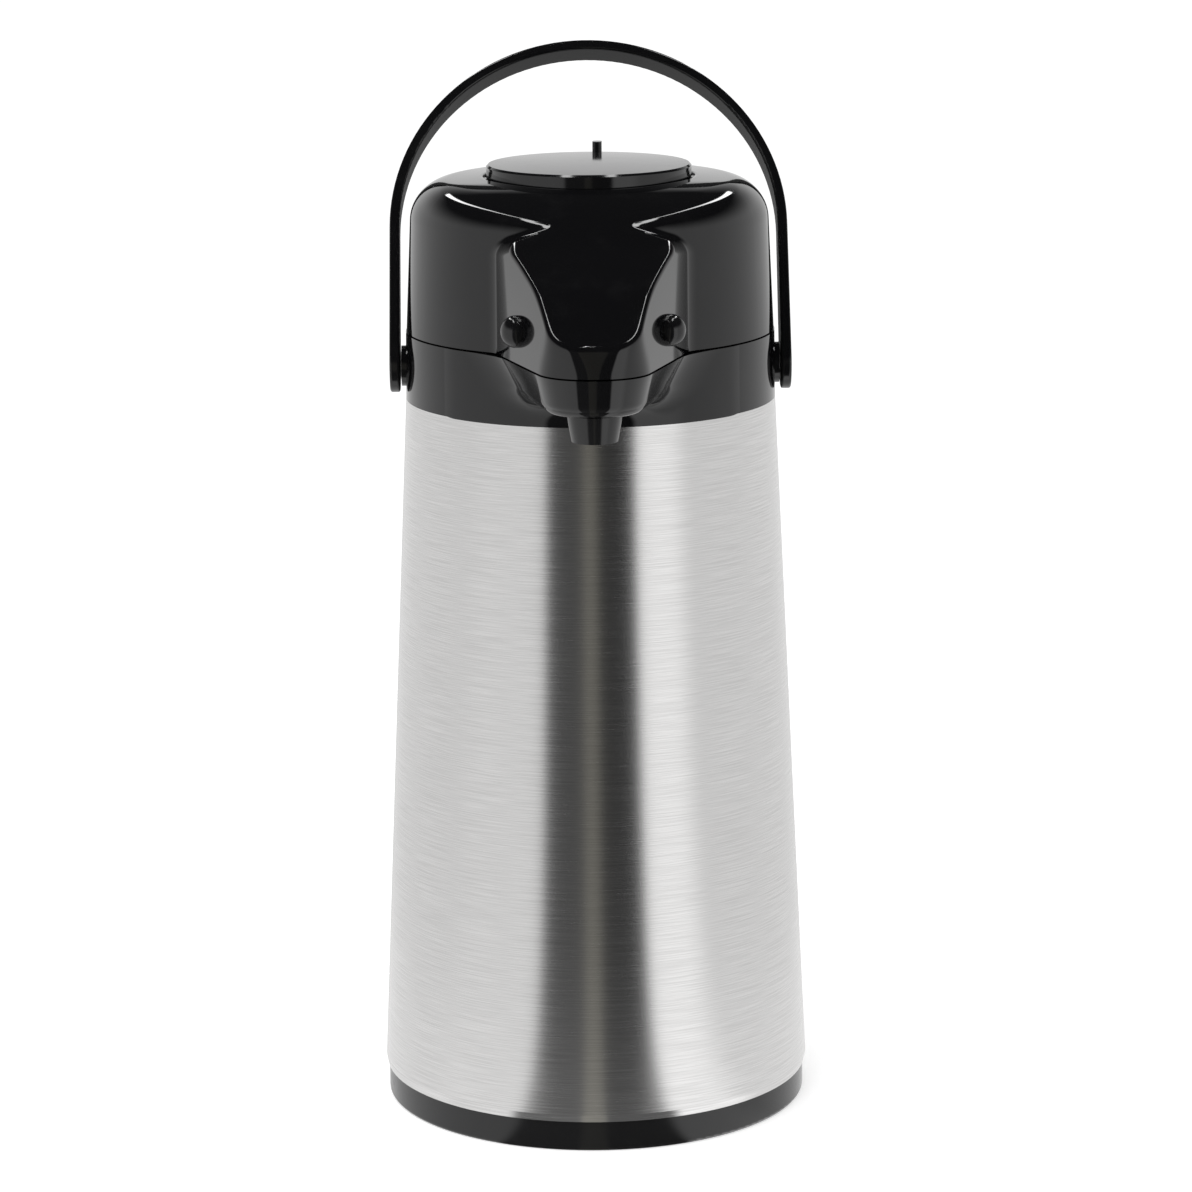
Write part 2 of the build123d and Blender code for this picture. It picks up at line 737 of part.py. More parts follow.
# Dome with the upper half of the nose
with BuildPart() as lid_dome:
    with BuildSketch(Plane.XZ):
        add(dome_face(0))
    revolve(axis=Axis.Z)
    with BuildSketch(Plane.XY.offset(dome_low_z)):
        add(nose_outline(jaw_top_root, jaw_top_tip, jaw_tip_y, jaw_tip_round, 0))
    extrude(amount=dome_neck_z - dome_low_z, taper=nose_draft)
    with BuildSketch(Plane.YZ.offset(-far / 2)):
        add(nose_top_face(0))
    extrude(amount=far, mode=Mode.SUBTRACT)
    slope_face = lid_dome.faces().filter_by(lambda f: f.center().Y < nose_waist_y).sort_by(Axis.Z)[-1]
    fillet(slope_face.edges().filter_by_position(Axis.Y, -far, -dome_top_r), nose_edge_round)
    add(dome_room.part, mode=Mode.SUBTRACT)
    add(dome_posts.part)
    with BuildSketch(Plane.XY.offset(guide_low_z)):
        Circle(hole_r)
    extrude(amount=far, mode=Mode.SUBTRACT)
    with BuildSketch(Plane.YZ.offset(-knuckle_half)):
        with Locations((hinge_y, hinge_z)):
            Circle(knuckle_r)
        with BuildLine():
            Polyline(
                (dome_foot_r - dome_wall + knuckle_bite, dome_low_z),
                (hinge_y - knuckle_lean, dome_low_z),
                (hinge_y + knuckle_lean, hinge_z + knuckle_r - knuckle_drop),
                (dome_foot_r - dome_wall + knuckle_skin, knuckle_foot_z),
                close=True,
            )
        make_face()
    extrude(amount=2 * knuckle_half)
    with BuildSketch(Plane.YZ.offset(-knuckle_half)):
        with Locations((hinge_y, hinge_z)):
            Circle(hinge_pin_r + running_gap)
    extrude(amount=2 * knuckle_half, mode=Mode.SUBTRACT)
    for side in (-1, 1):
        with BuildSketch(button_plane(side, -dome_wall)):
            Circle(button_r + button_clear)
        extrude(amount=3 * dome_wall, mode=Mode.SUBTRACT)
    with BuildSketch(Plane.XY.offset(plate_z)):
        with PolarLocations(post_at, 4, start_angle=45):
            Circle(lid_screw_r)
    extrude(amount=lid_screw_len, mode=Mode.SUBTRACT)
    # Ring pocket and drop slots for the pad's two lock lugs
    for turn in (0, 180):
        with BuildSketch(Plane.XY.offset(pad_skirt_z - lug_clear)):
            with BuildLine():
                pocket_r = lug_r + lug_clear
                start = turn - lock_turn - 2 * lug_half
                CenterArc((0, 0), pocket_r, start, lock_turn + 4 * lug_half)
                CenterArc((0, 0), hole_r - pocket_bite, start, lock_turn + 4 * lug_half)
                for end in (start, start + lock_turn + 4 * lug_half):
                    c, s = cos(radians(end)), sin(radians(end))
                    Line((pocket_r * c, pocket_r * s), ((hole_r - pocket_bite) * c, (hole_r - pocket_bite) * s))
            make_face()
        extrude(amount=lug_h + 2 * lug_clear, mode=Mode.SUBTRACT)
        with BuildSketch(Plane.XY.offset(pad_skirt_z - lug_clear - press)):
            with BuildLine():
                start = turn - 2 * lug_half
                CenterArc((0, 0), pocket_r, start, 4 * lug_half)
                CenterArc((0, 0), hole_r - pocket_bite, start, 4 * lug_half)
                for end in (start, start + 4 * lug_half):
                    c, s = cos(radians(end)), sin(radians(end))
                    Line((pocket_r * c, pocket_r * s), ((hole_r - pocket_bite) * c, (hole_r - pocket_bite) * s))
            make_face()
        extrude(amount=press + lug_clear, mode=Mode.SUBTRACT)
lid_dome.part.label = "lid_dome"
export_step(lid_dome.part, "parts/lid_dome.step")

# Plate that closes the dome from below and carries the bellows
with BuildPart() as lid_base:
    with BuildSketch(Plane.XY.offset(plate_z)):
        Circle(plate_r)
        with PolarLocations(plate_hole_ring_r, 4):
            Circle(plate_hole_r, mode=Mode.SUBTRACT)
        with PolarLocations(post_at, 4, start_angle=45):
            Circle(lid_screw_r + button_clear, mode=Mode.SUBTRACT)
    extrude(amount=plate_t)
    add(ring(bellows_r + seat_gap, bellows_r + seat_gap + plate_rim_w, plate_z + plate_t, plate_z + plate_t + plate_rim_h))
lid_base.part.label = "lid_base"
export_step(lid_base.part, "parts/lid_base.step")

with BuildPart() as lid_screws:
    with BuildSketch(Plane.XY.offset(plate_z)):
        with PolarLocations(post_at, 4, start_angle=45):
            Circle(lid_screw_r)
    extrude(amount=lid_screw_len)
    with BuildSketch(Plane.XY.offset(plate_z)):
        with PolarLocations(post_at, 4, start_angle=45):
            Circle(lid_screw_head_r)
    extrude(amount=-lid_screw_head_h)
    with BuildSketch(Plane.XY.offset(plate_z - lid_screw_head_h)):
        with PolarLocations(post_at, 4, start_angle=45):
            Rectangle(cross_len, cross_w)
            Rectangle(cross_w, cross_len)
    extrude(amount=cross_deep, mode=Mode.SUBTRACT)
lid_screws.part.label = "lid_screws"
export_step(lid_screws.part, "parts/lid_screws.step")

with BuildPart() as stopper_seal:
    add(ring(seal_in_r, seal_out_r, chamber_rim_z + seat_gap, plate_z))
stopper_seal.part.label = "stopper_seal"
export_step(stopper_seal.part, "parts/stopper_seal.step")

with BuildPart() as outlet_valve:
    add(ring(flap_in_r, flap_out_r, plate_z - flap_t, plate_z))
outlet_valve.part.label = "outlet_valve"
export_step(outlet_valve.part, "parts/outlet_valve.step")

# Folded pump bellows
fold_low = plate_z + plate_t + bellows_t
fold_high = web_z - bellows_t
fold_h = (fold_high - fold_low) / bellows_folds
with BuildPart() as bellows:
    with BuildSketch(Plane.XZ):
        with BuildLine():
            outer = [(bellows_r, plate_z + plate_t), (bellows_r, fold_low)]
            inner = [(bellows_root_r - 2 * bellows_t, plate_z + plate_t), (bellows_root_r - 2 * bellows_t, fold_low)]
            for fold in range(bellows_folds):
                z = fold_low + fold * fold_h
                outer += [(bellows_root_r, z + fold_h * 0.5), (bellows_r, z + fold_h)]
            for fold in range(bellows_folds):
                z = fold_low + fold * fold_h
                inner += [(bellows_r - fold_wall, z), (bellows_root_r - bellows_t, z + fold_h * 0.5)]
            inner += [(bellows_r - fold_wall, fold_high), (bellows_root_r - 2 * bellows_t, fold_high)]
            inner += [(bellows_root_r - 2 * bellows_t, web_z)]
            outer += [(bellows_r, web_z)]
            Polyline(*outer, *inner[::-1], close=True)
        make_face()
    revolve(axis=Axis.Z)
bellows.part.label = "bellows"
export_step(bellows.part, "parts/bellows.step")

with BuildPart() as return_spring:
    spring_low = plate_z + plate_t + spring_wire + spring_end
    spring_high = web_z - spring_wire - spring_end
    coil = Helix(
        pitch=(spring_high - spring_low) / spring_turns,
        height=spring_high - spring_low,
        radius=spring_r,
        center=(0, 0, spring_low),
    )
    with BuildSketch(Plane(origin=coil @ 0, z_dir=coil % 0)):
        Circle(spring_wire)
    sweep(path=coil, is_frenet=True)
return_spring.part.label = "return_spring"
export_step(return_spring.part, "parts/return_spring.step")

# Pump piston that slides in the dome's guide
plunger_r = hole_r - plunger_gap
with BuildPart() as plunger:
    add(ring(plunger_r - plunger_wall, plunger_r, plunger_low_z, plunger_top_z))
    with BuildSketch(Plane.XY.offset(web_z)):
        Circle(plunger_r)
    extrude(amount=web_t)
    with BuildSketch(Plane.XY.offset(web_z)):
        Circle(pad_boss_r)
    extrude(amount=plunger_top_z - web_z)
    with BuildSketch(Plane.XY.offset(web_z)):
        with PolarLocations(air_hole_at, 3):
            Circle(air_hole_r)
    extrude(amount=web_t, mode=Mode.SUBTRACT)
    with BuildSketch(Plane.XY.offset(web_z)):
        Circle(screw_r)
    extrude(amount=plunger_top_z - web_z, mode=Mode.SUBTRACT)
plunger.part.label = "plunger"
export_step(plunger.part, "parts/plunger.step")

with BuildPart() as intake_valve:
    add(ring(air_hole_at - valve_half, air_hole_at + valve_half, web_z - flap_t, web_z))
intake_valve.part.label = "intake_valve"
export_step(intake_valve.part, "parts/intake_valve.step")

boss_top_z = pad_top_z - pad_t
with BuildPart() as pad_screw:
    with BuildSketch(Plane.XY.offset(web_z - screw_head_h)):
        Circle(screw_head_r)
    extrude(amount=screw_head_h)
    with BuildSketch(Plane.XY.offset(web_z)):
        Circle(screw_r)
    extrude(amount=boss_top_z - screw_play - web_z)
    with BuildSketch(Plane.XY.offset(web_z - screw_head_h)):
        Rectangle(cross_len, cross_w)
        Rectangle(cross_w, cross_len)
    extrude(amount=cross_deep, mode=Mode.SUBTRACT)
pad_screw.part.label = "pad_screw"
export_step(pad_screw.part, "parts/pad_screw.step")

# Round press pad with its fin and two lock lugs
with BuildPart() as pad:
    with BuildSketch(Plane.XZ):
        with BuildLine():
            Line((0, boss_top_z), (pad_r - pad_wall, boss_top_z))
            Polyline(
                (pad_r - pad_wall, boss_top_z), (pad_r - pad_wall, pad_skirt_z), (pad_r, pad_skirt_z),
                (pad_r, pad_top_z - pad_edge)
            )
            Line((pad_r, pad_top_z - pad_edge), (pad_r - pad_edge, pad_top_z))
            ThreePointArc(
                (pad_r - pad_edge, pad_top_z), (pad_r / 2, pad_top_z + pad_crown * 0.75), (0, pad_top_z + pad_crown)
            )
            Line((0, pad_top_z + pad_crown), (0, boss_top_z))
        make_face()
    revolve(axis=Axis.Z)
    with BuildSketch(Plane.XY.offset(plunger_top_z + pad_boss_gap)):
        Circle(pad_boss_r)
    extrude(amount=boss_top_z - plunger_top_z)
    with BuildSketch(Plane.XY.offset(plunger_top_z)):
        Circle(screw_r + running_gap)
    extrude(amount=boss_top_z - plunger_top_z, mode=Mode.SUBTRACT)
    fin_plane = Plane.XY.rotated((0, 0, -fin_turn)).offset(pad_top_z - fin_bite)
    with BuildSketch(fin_plane):
        with Locations((0, pad_r - fin_len / 2 - fin_back)):
            RectangleRounded(fin_t, fin_len, fin_round)
    extrude(amount=fin_h + fin_bite)
    for turn in (0, 180):
        with BuildSketch(Plane.XY.offset(pad_skirt_z)):
            with BuildLine():
                CenterArc((0, 0), lug_r, turn - lug_half, 2 * lug_half)
                CenterArc((0, 0), pad_r - lug_bite, turn - lug_half, 2 * lug_half)
                for end in (turn - lug_half, turn + lug_half):
                    c, s = cos(radians(end)), sin(radians(end))
                    Line((lug_r * c, lug_r * s), ((pad_r - lug_bite) * c, (pad_r - lug_bite) * s))
            make_face()
        extrude(amount=lug_h)
pad.part.label = "pad"
export_step(pad.part, "parts/pad.step")

# Side buttons with their latch legs, and a small spring behind each
for side, name in ((-1, "left_release"), (1, "right_release")):
    with BuildPart() as release:
        with BuildSketch(button_plane(side, -button_out)):
            Circle(button_r)
        extrude(amount=button_out + shank_in)
        outer_edge = release.edges().filter_by(GeomType.CIRCLE).sort_by(
            lambda e: (e.center() - wall_point[side]).dot(out_dir[side]))[-1]
        fillet(outer_edge, button_round)
        with BuildSketch(button_plane(side, flange_in)):
            Circle(flange_r)
        extrude(amount=flange_t)
        with BuildSketch(button_plane(side, shank_in)):
            with Locations((-(button_z - leg_low_z) / 2, 0)):
                Rectangle(button_z - leg_low_z, leg_w)
        extrude(amount=leg_t)
        with BuildSketch(button_plane(side, shank_in)):
            Circle(leg_w / 2)
        extrude(amount=leg_t)
        with BuildSketch(button_plane(side, shank_in)):
            with Locations((-(button_z - leg_low_z) + barb_h / 2, 0)):
                Rectangle(barb_h, leg_w)
        extrude(amount=-barb_out)
    release.part.label = name
    export_step(release.part, f"parts/{name}.step")
    with BuildPart() as spring:
        low = shank_in + leg_t + latch_spring_wire + spring_end
        high = post_in - latch_spring_wire - spring_end
        coil = Helix(
            pitch=(high - low) / latch_spring_turns,
            height=high - low,
            radius=latch_spring_r,
            center=tuple(wall_point[side] - out_dir[side] * low),
            direction=tuple(out_dir[side] * -1),
        )
        with BuildSketch(Plane(origin=coil @ 0, z_dir=coil % 0)):
            Circle(latch_spring_wire)
        sweep(path=coil, is_frenet=True)
    spring.part.label = f"{name}_spring"
    export_step(spring.part, f"parts/{name}_spring.step")

# Bail handle: arch and arms from the front, strap width from the side, two studs
lean = radians(handle_lean)
front_plane = Plane(
    origin=(0, 0, pivot_z), x_dir=(1, 0, 0), z_dir=(0, -cos(lean), sin(lean))
)
side_plane = Plane(origin=(0, 0, pivot_z), x_dir=(0, cos(lean), -sin(lean)), z_dir=(1, 0, 0))
arm_in = arch_r - arch_t
with BuildPart() as handle:
    with BuildSketch(front_plane):
        with BuildLine():
            Polyline((-arch_r, arch_up), (-arch_r, -hub_r), (-arm_in, -hub_r), (-arm_in, arch_up))
            ThreePointArc((-arm_in, arch_up), (0, arch_up + arm_in), (arm_in, arch_up))
            Polyline((arm_in, arch_up), (arm_in, -hub_r), (arch_r, -hub_r), (arch_r, arch_up))
            ThreePointArc((arch_r, arch_up), (0, arch_up + arch_r), (-arch_r, arch_up))
        make_face()
    extrude(amount=hub_r + cut_over, both=True)
    top_t = arch_up + arch_r + cut_over
    with BuildSketch(side_plane):
        with BuildLine():
            half = strap_w / 2
            Polyline((-hub_r, 0), (-half, arch_up), (-half, top_t), (half, top_t), (half, arch_up), (hub_r, 0))
            ThreePointArc((hub_r, 0), (0, -hub_r), (-hub_r, 0))
        make_face()
    extrude(amount=arch_r + cut_over, both=True, mode=Mode.INTERSECT)
    rounded = handle.edges().filter_by(lambda e: e.length > arch_up)
    fillet(rounded, handle_round)
    for side in (-1, 1):
        with BuildSketch(Plane.YZ.offset(side * bush_in)):
            with Locations((0, pivot_z)):
                Circle(stud_r)
        extrude(amount=side * (arm_in + stud_bite - bush_in))
handle.part.label = "handle"
export_step(handle.part, "parts/handle.step")

# Friction sleeves between the handle's studs and the bosses
with BuildPart() as handle_bushes:
    for side in (-1, 1):
        with BuildSketch(Plane.YZ.offset(side * bush_in)):
            with Locations((0, pivot_z)):
                Circle(bush_r)
                Circle(stud_r + running_gap, mode=Mode.SUBTRACT)
        extrude(amount=side * (bush_out - bush_in))
handle_bushes.part.label = "handle_bushes"
export_step(handle_bushes.part, "parts/handle_bushes.step")
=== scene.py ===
import json
import math

import bmesh
import bpy
import numpy as np
from mathutils import Matrix, Vector
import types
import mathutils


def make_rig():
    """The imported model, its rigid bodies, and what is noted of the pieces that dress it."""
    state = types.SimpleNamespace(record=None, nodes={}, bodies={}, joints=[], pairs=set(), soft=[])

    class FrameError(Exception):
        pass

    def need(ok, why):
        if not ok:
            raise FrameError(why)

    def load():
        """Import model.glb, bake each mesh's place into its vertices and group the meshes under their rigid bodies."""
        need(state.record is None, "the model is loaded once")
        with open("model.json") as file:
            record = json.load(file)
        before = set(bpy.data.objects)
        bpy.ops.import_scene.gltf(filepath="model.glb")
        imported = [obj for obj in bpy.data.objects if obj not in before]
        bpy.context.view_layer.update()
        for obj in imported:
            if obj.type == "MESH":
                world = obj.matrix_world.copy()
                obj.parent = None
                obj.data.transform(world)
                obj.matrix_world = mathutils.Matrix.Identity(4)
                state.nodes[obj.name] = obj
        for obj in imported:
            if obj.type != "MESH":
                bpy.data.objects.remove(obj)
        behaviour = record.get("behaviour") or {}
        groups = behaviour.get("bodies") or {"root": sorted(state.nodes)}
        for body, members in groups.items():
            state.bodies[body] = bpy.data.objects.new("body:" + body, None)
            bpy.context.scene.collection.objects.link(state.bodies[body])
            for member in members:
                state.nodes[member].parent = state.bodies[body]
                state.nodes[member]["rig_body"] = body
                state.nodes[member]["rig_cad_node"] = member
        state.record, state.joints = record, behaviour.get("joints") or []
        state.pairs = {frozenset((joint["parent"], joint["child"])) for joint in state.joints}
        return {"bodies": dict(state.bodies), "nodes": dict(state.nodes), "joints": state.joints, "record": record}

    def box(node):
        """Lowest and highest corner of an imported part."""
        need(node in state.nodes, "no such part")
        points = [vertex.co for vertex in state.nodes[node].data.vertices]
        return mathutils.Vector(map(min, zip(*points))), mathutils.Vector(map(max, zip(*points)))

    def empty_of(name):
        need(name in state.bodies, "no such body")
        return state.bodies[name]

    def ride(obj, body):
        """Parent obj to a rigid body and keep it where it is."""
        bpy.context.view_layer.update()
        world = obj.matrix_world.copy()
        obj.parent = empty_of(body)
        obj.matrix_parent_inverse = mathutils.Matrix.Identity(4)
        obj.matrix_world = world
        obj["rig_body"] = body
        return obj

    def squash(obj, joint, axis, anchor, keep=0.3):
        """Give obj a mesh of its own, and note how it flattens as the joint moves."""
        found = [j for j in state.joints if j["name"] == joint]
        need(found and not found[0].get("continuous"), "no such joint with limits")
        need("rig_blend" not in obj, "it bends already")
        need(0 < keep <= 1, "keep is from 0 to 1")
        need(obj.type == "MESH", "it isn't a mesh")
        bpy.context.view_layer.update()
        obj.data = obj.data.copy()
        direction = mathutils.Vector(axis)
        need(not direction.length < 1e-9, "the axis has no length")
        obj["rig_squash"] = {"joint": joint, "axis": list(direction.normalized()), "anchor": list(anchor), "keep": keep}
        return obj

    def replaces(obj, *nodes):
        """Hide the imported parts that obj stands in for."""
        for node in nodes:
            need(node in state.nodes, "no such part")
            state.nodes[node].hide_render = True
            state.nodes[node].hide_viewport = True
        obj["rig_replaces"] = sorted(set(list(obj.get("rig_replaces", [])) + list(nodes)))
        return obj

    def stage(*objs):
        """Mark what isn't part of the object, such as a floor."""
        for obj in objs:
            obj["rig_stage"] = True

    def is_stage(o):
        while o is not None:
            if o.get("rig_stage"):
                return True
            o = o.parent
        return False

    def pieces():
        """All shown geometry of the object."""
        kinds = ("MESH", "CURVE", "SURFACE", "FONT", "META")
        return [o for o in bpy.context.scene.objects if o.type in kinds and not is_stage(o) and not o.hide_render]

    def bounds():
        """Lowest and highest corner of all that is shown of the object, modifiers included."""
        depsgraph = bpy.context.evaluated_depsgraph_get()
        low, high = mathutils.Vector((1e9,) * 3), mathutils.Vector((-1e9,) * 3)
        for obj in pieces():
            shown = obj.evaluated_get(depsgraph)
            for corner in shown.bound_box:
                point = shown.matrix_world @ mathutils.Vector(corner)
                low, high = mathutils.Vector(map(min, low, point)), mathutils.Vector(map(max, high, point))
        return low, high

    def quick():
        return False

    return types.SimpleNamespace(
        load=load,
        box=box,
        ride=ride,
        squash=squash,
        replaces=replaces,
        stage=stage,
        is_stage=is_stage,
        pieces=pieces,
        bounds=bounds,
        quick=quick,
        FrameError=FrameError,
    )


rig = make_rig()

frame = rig.load()
cadBox = [list(corner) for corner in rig.bounds()]
scene = bpy.context.scene
mm = 0.001
nodes = frame["nodes"]
print("frame loaded")

# Camera at the photograph's viewing angle
camera = {
    "at": (-0.0219, -1.6741, 0.5717), "yaw": -0.01396, "pitch": 0.2168, "roll": -0.0080,
    "lens": 129.98, "sensor": 36.0, "farEnd": 100.0,
}
cameraData = bpy.data.cameras.new("photoCamera")
cameraData.lens = camera["lens"]
cameraData.sensor_width = camera["sensor"]
cameraData.clip_end = camera["farEnd"]
cameraObject = bpy.data.objects.new("photoCamera", cameraData)
scene.collection.objects.link(cameraObject)
cameraObject.matrix_world = (
    Matrix.Translation(camera["at"])
    @ Matrix.Rotation(camera["yaw"], 4, "Z")
    @ Matrix.Rotation(math.pi / 2 - camera["pitch"], 4, "X")
    @ Matrix.Rotation(camera["roll"], 4, "Z")
)
scene.camera = cameraObject
scene.view_settings.view_transform = "Standard"
print("camera set")


class Nodes:
    def __init__(self, tree):
        self.tree = tree

    def link(self, source, target):
        self.tree.links.new(source, target)

    def feed(self, socket, value):
        if isinstance(value, bpy.types.NodeSocket):
            self.link(value, socket)
        else:
            socket.default_value = value

    def add(self, kind, **settings):
        # Settings named in0, in1 or inScale go to that input, the others are properties of the node
        node = self.tree.nodes.new(kind)
        for key, value in settings.items():
            if key.startswith("in") and not key[2].islower():
                slot = key[2:]
                self.feed(node.inputs[int(slot) if slot.isdigit() else slot], value)
            else:
                setattr(node, key, value)
        return node

    def math(self, operation, a, b=0.0):
        return self.add("ShaderNodeMath", operation=operation, in0=a, in1=b).outputs[0]

    def plus(self, a, b):
        return self.math("ADD", a, b)

    def minus(self, a, b):
        return self.math("SUBTRACT", a, b)

    def times(self, a, b):
        return self.math("MULTIPLY", a, b)

    def size(self, a):
        return self.math("ABSOLUTE", a)

    def reach(self, a, b):
        return self.math("SQRT", self.plus(self.math("POWER", a, 2.0), self.math("POWER", b, 2.0)))

    def smooth(self, value, low, high, outLow=0.0, outHigh=1.0):
        node = self.add("ShaderNodeMapRange", interpolation_type="SMOOTHSTEP",
                        in0=value, in1=low, in2=high, in3=outLow, in4=outHigh)
        return node.outputs[0]

    def window(self, value, low, high, soft):
        # 1 between low and high, 0 outside, with soft edges
        opened = self.smooth(value, low, low + soft)
        return self.times(opened, self.smooth(value, high - soft, high, 1.0, 0.0))

    def mixColor(self, factor, a, b, blend="MIX"):
        node = self.add("ShaderNodeMix", data_type="RGBA", blend_type=blend, in0=factor, in6=a, in7=b)
        return node.outputs[2]


def newGroup(name, inputs, outputs):
    tree = bpy.data.node_groups.new(name, "ShaderNodeTree")
    for label, kind, default in inputs:
        socket = tree.interface.new_socket(label, in_out="INPUT", socket_type=kind)
        if default is not None:
            socket.default_value = default
    for label, kind in outputs:
        tree.interface.new_socket(label, in_out="OUTPUT", socket_type=kind)
    build = Nodes(tree)
    return tree, build, build.add("NodeGroupInput"), build.add("NodeGroupOutput")


# What the room round the pot shows to a glossy surface: white sides and back, a dark gap at the camera,
# a dark ceiling with two slanting strips and two bows of light. Angles are in degrees, 0 is at the camera.
studio = {
    "degrees": 57.29578,
    "gapLeft": -27.5, "gapRight": 25.5, "gapSoft": 2.5, "gap": 0.038, "gapEdge": 0.08, "gapTurn": 4.0,
    "stripe": 0.15, "stripeLeft": -6.5, "stripeRight": 3.5, "stripeSoft": 2.0, "stripeWarm": 0.9,
    "side": 0.87, "bandLeft": 0.92, "bandRight": 1.2,
    "leftFar": -84.0, "leftNear": -62.0, "rightNear": 46.0, "rightFar": 62.0,
    "ceilingLow": 10.0, "ceilingHigh": 34.0, "ceiling": 0.012,
    "stripTurn": 160.0, "stripFrom": 30.0, "stripSlant": 0.8, "stripHalf": 3.6, "stripSoft": 2.0,
    "stripLow": 28.0, "stripHigh": 80.0, "stripGlow": 10.0,
    "bowRise": 75.5, "bowHalf": 3.0, "bowSoft": 1.0, "bowNear": 38.0, "bowFar": 122.0, "bowFade": 4.0,
    "white": (1.0, 1.0, 1.0, 1.0), "warm": (1.0, 0.96, 0.82, 1.0), "ambient": 0.62,
}


def buildStudio():
    tree, s, given, result = newGroup(
        "studioGlow", [("Direction", "NodeSocketVector", None)], [("Color", "NodeSocketColor")])
    towards = s.add("ShaderNodeSeparateXYZ", in0=given.outputs[0]).outputs
    azimuth = s.times(s.math("ARCTAN2", towards[0], s.times(towards[1], -1.0)), studio["degrees"])
    elevation = s.times(s.math("ARCTAN2", towards[2], s.reach(towards[0], towards[1])), studio["degrees"])
    aside = s.size(azimuth)

    soft = studio["gapSoft"]
    leftOpen = s.smooth(azimuth, studio["gapLeft"] - soft, studio["gapLeft"] + soft, 1.0, 0.0)
    rightOpen = s.smooth(azimuth, studio["gapRight"] - soft, studio["gapRight"] + soft, 0.0, 1.0)
    side = studio["side"]
    leftLevel = s.smooth(azimuth, studio["leftFar"], studio["leftNear"], side, studio["bandLeft"])
    rightLevel = s.smooth(azimuth, studio["rightNear"], studio["rightFar"], studio["bandRight"], side)
    stripe = s.window(azimuth, studio["stripeLeft"], studio["stripeRight"], studio["stripeSoft"])
    gap = s.smooth(azimuth, -studio["gapTurn"], studio["gapTurn"], studio["gapEdge"], studio["gap"])
    gap = s.plus(gap, s.times(stripe, studio["stripe"]))
    level = s.plus(s.times(leftOpen, leftLevel), s.times(rightOpen, rightLevel))
    level = s.math("MAXIMUM", level, gap)
    fade = s.smooth(elevation, studio["ceilingLow"], studio["ceilingHigh"], 1.0, 0.0)
    level = s.math("MAXIMUM", s.times(level, fade), studio["ceiling"])

    stripLine = s.times(s.minus(elevation, studio["stripFrom"]), studio["stripSlant"])
    stripOff = s.size(s.minus(aside, s.minus(studio["stripTurn"], stripLine)))
    strip = s.smooth(stripOff, studio["stripHalf"] - studio["stripSoft"], studio["stripHalf"], 1.0, 0.0)
    strip = s.times(strip, s.window(elevation, studio["stripLow"], studio["stripHigh"], studio["stripSoft"]))
    bowOff = s.size(s.minus(elevation, studio["bowRise"]))
    bow = s.smooth(bowOff, studio["bowHalf"] - studio["bowSoft"], studio["bowHalf"], 1.0, 0.0)
    bow = s.times(bow, s.window(aside, studio["bowNear"], studio["bowFar"], studio["bowFade"]))
    level = s.plus(level, s.times(s.math("MAXIMUM", strip, bow), studio["stripGlow"]))

    tint = s.mixColor(s.times(stripe, studio["stripeWarm"]), studio["white"], studio["warm"])
    scaled = s.add("ShaderNodeVectorMath", operation="SCALE", in0=tint, in3=level)
    s.link(scaled.outputs[0], result.inputs[0])
    return tree


def byRay(build, eye, mirror, rest):
    # One shader for the camera, one for glossy and clear surfaces, one for all other rays
    path = build.add("ShaderNodeLightPath").outputs
    bounced = build.math("MAXIMUM", path["Is Glossy Ray"], path["Is Transmission Ray"])
    behind = build.add("ShaderNodeMixShader", in0=bounced, in1=rest.outputs[0], in2=mirror.outputs[0])
    direct = path["Is Camera Ray"]
    return build.add("ShaderNodeMixShader", in0=direct, in1=behind.outputs[0], in2=eye.outputs[0])


studioTree = buildStudio()
world = bpy.data.worlds.new("studioWorld")
scene.world = world
world.use_nodes = True
world.node_tree.nodes.clear()
w = Nodes(world.node_tree)
room = w.add("ShaderNodeGroup", node_tree=studioTree, in0=w.add("ShaderNodeTexCoord").outputs["Generated"])
seen = byRay(
    w,
    eye=w.add("ShaderNodeBackground", in0=studio["white"], in1=1.0),
    mirror=w.add("ShaderNodeBackground", in0=room.outputs[0], in1=1.0),
    rest=w.add("ShaderNodeBackground", in0=studio["white"], in1=studio["ambient"]),
)
w.add("ShaderNodeOutputWorld", inSurface=seen.outputs[0])

# Floor that is white to the eye, keeps a faint shadow, and shows the room to glossy surfaces, with a painted pool of
# light round the pot in those reflections
floor = {
    "half": 20.0, "grey": (0.8, 0.8, 0.8, 1.0), "lift": 0.55,
    "poolNear": 0.16, "poolFar": 0.4, "poolGlow": 0.085,
}


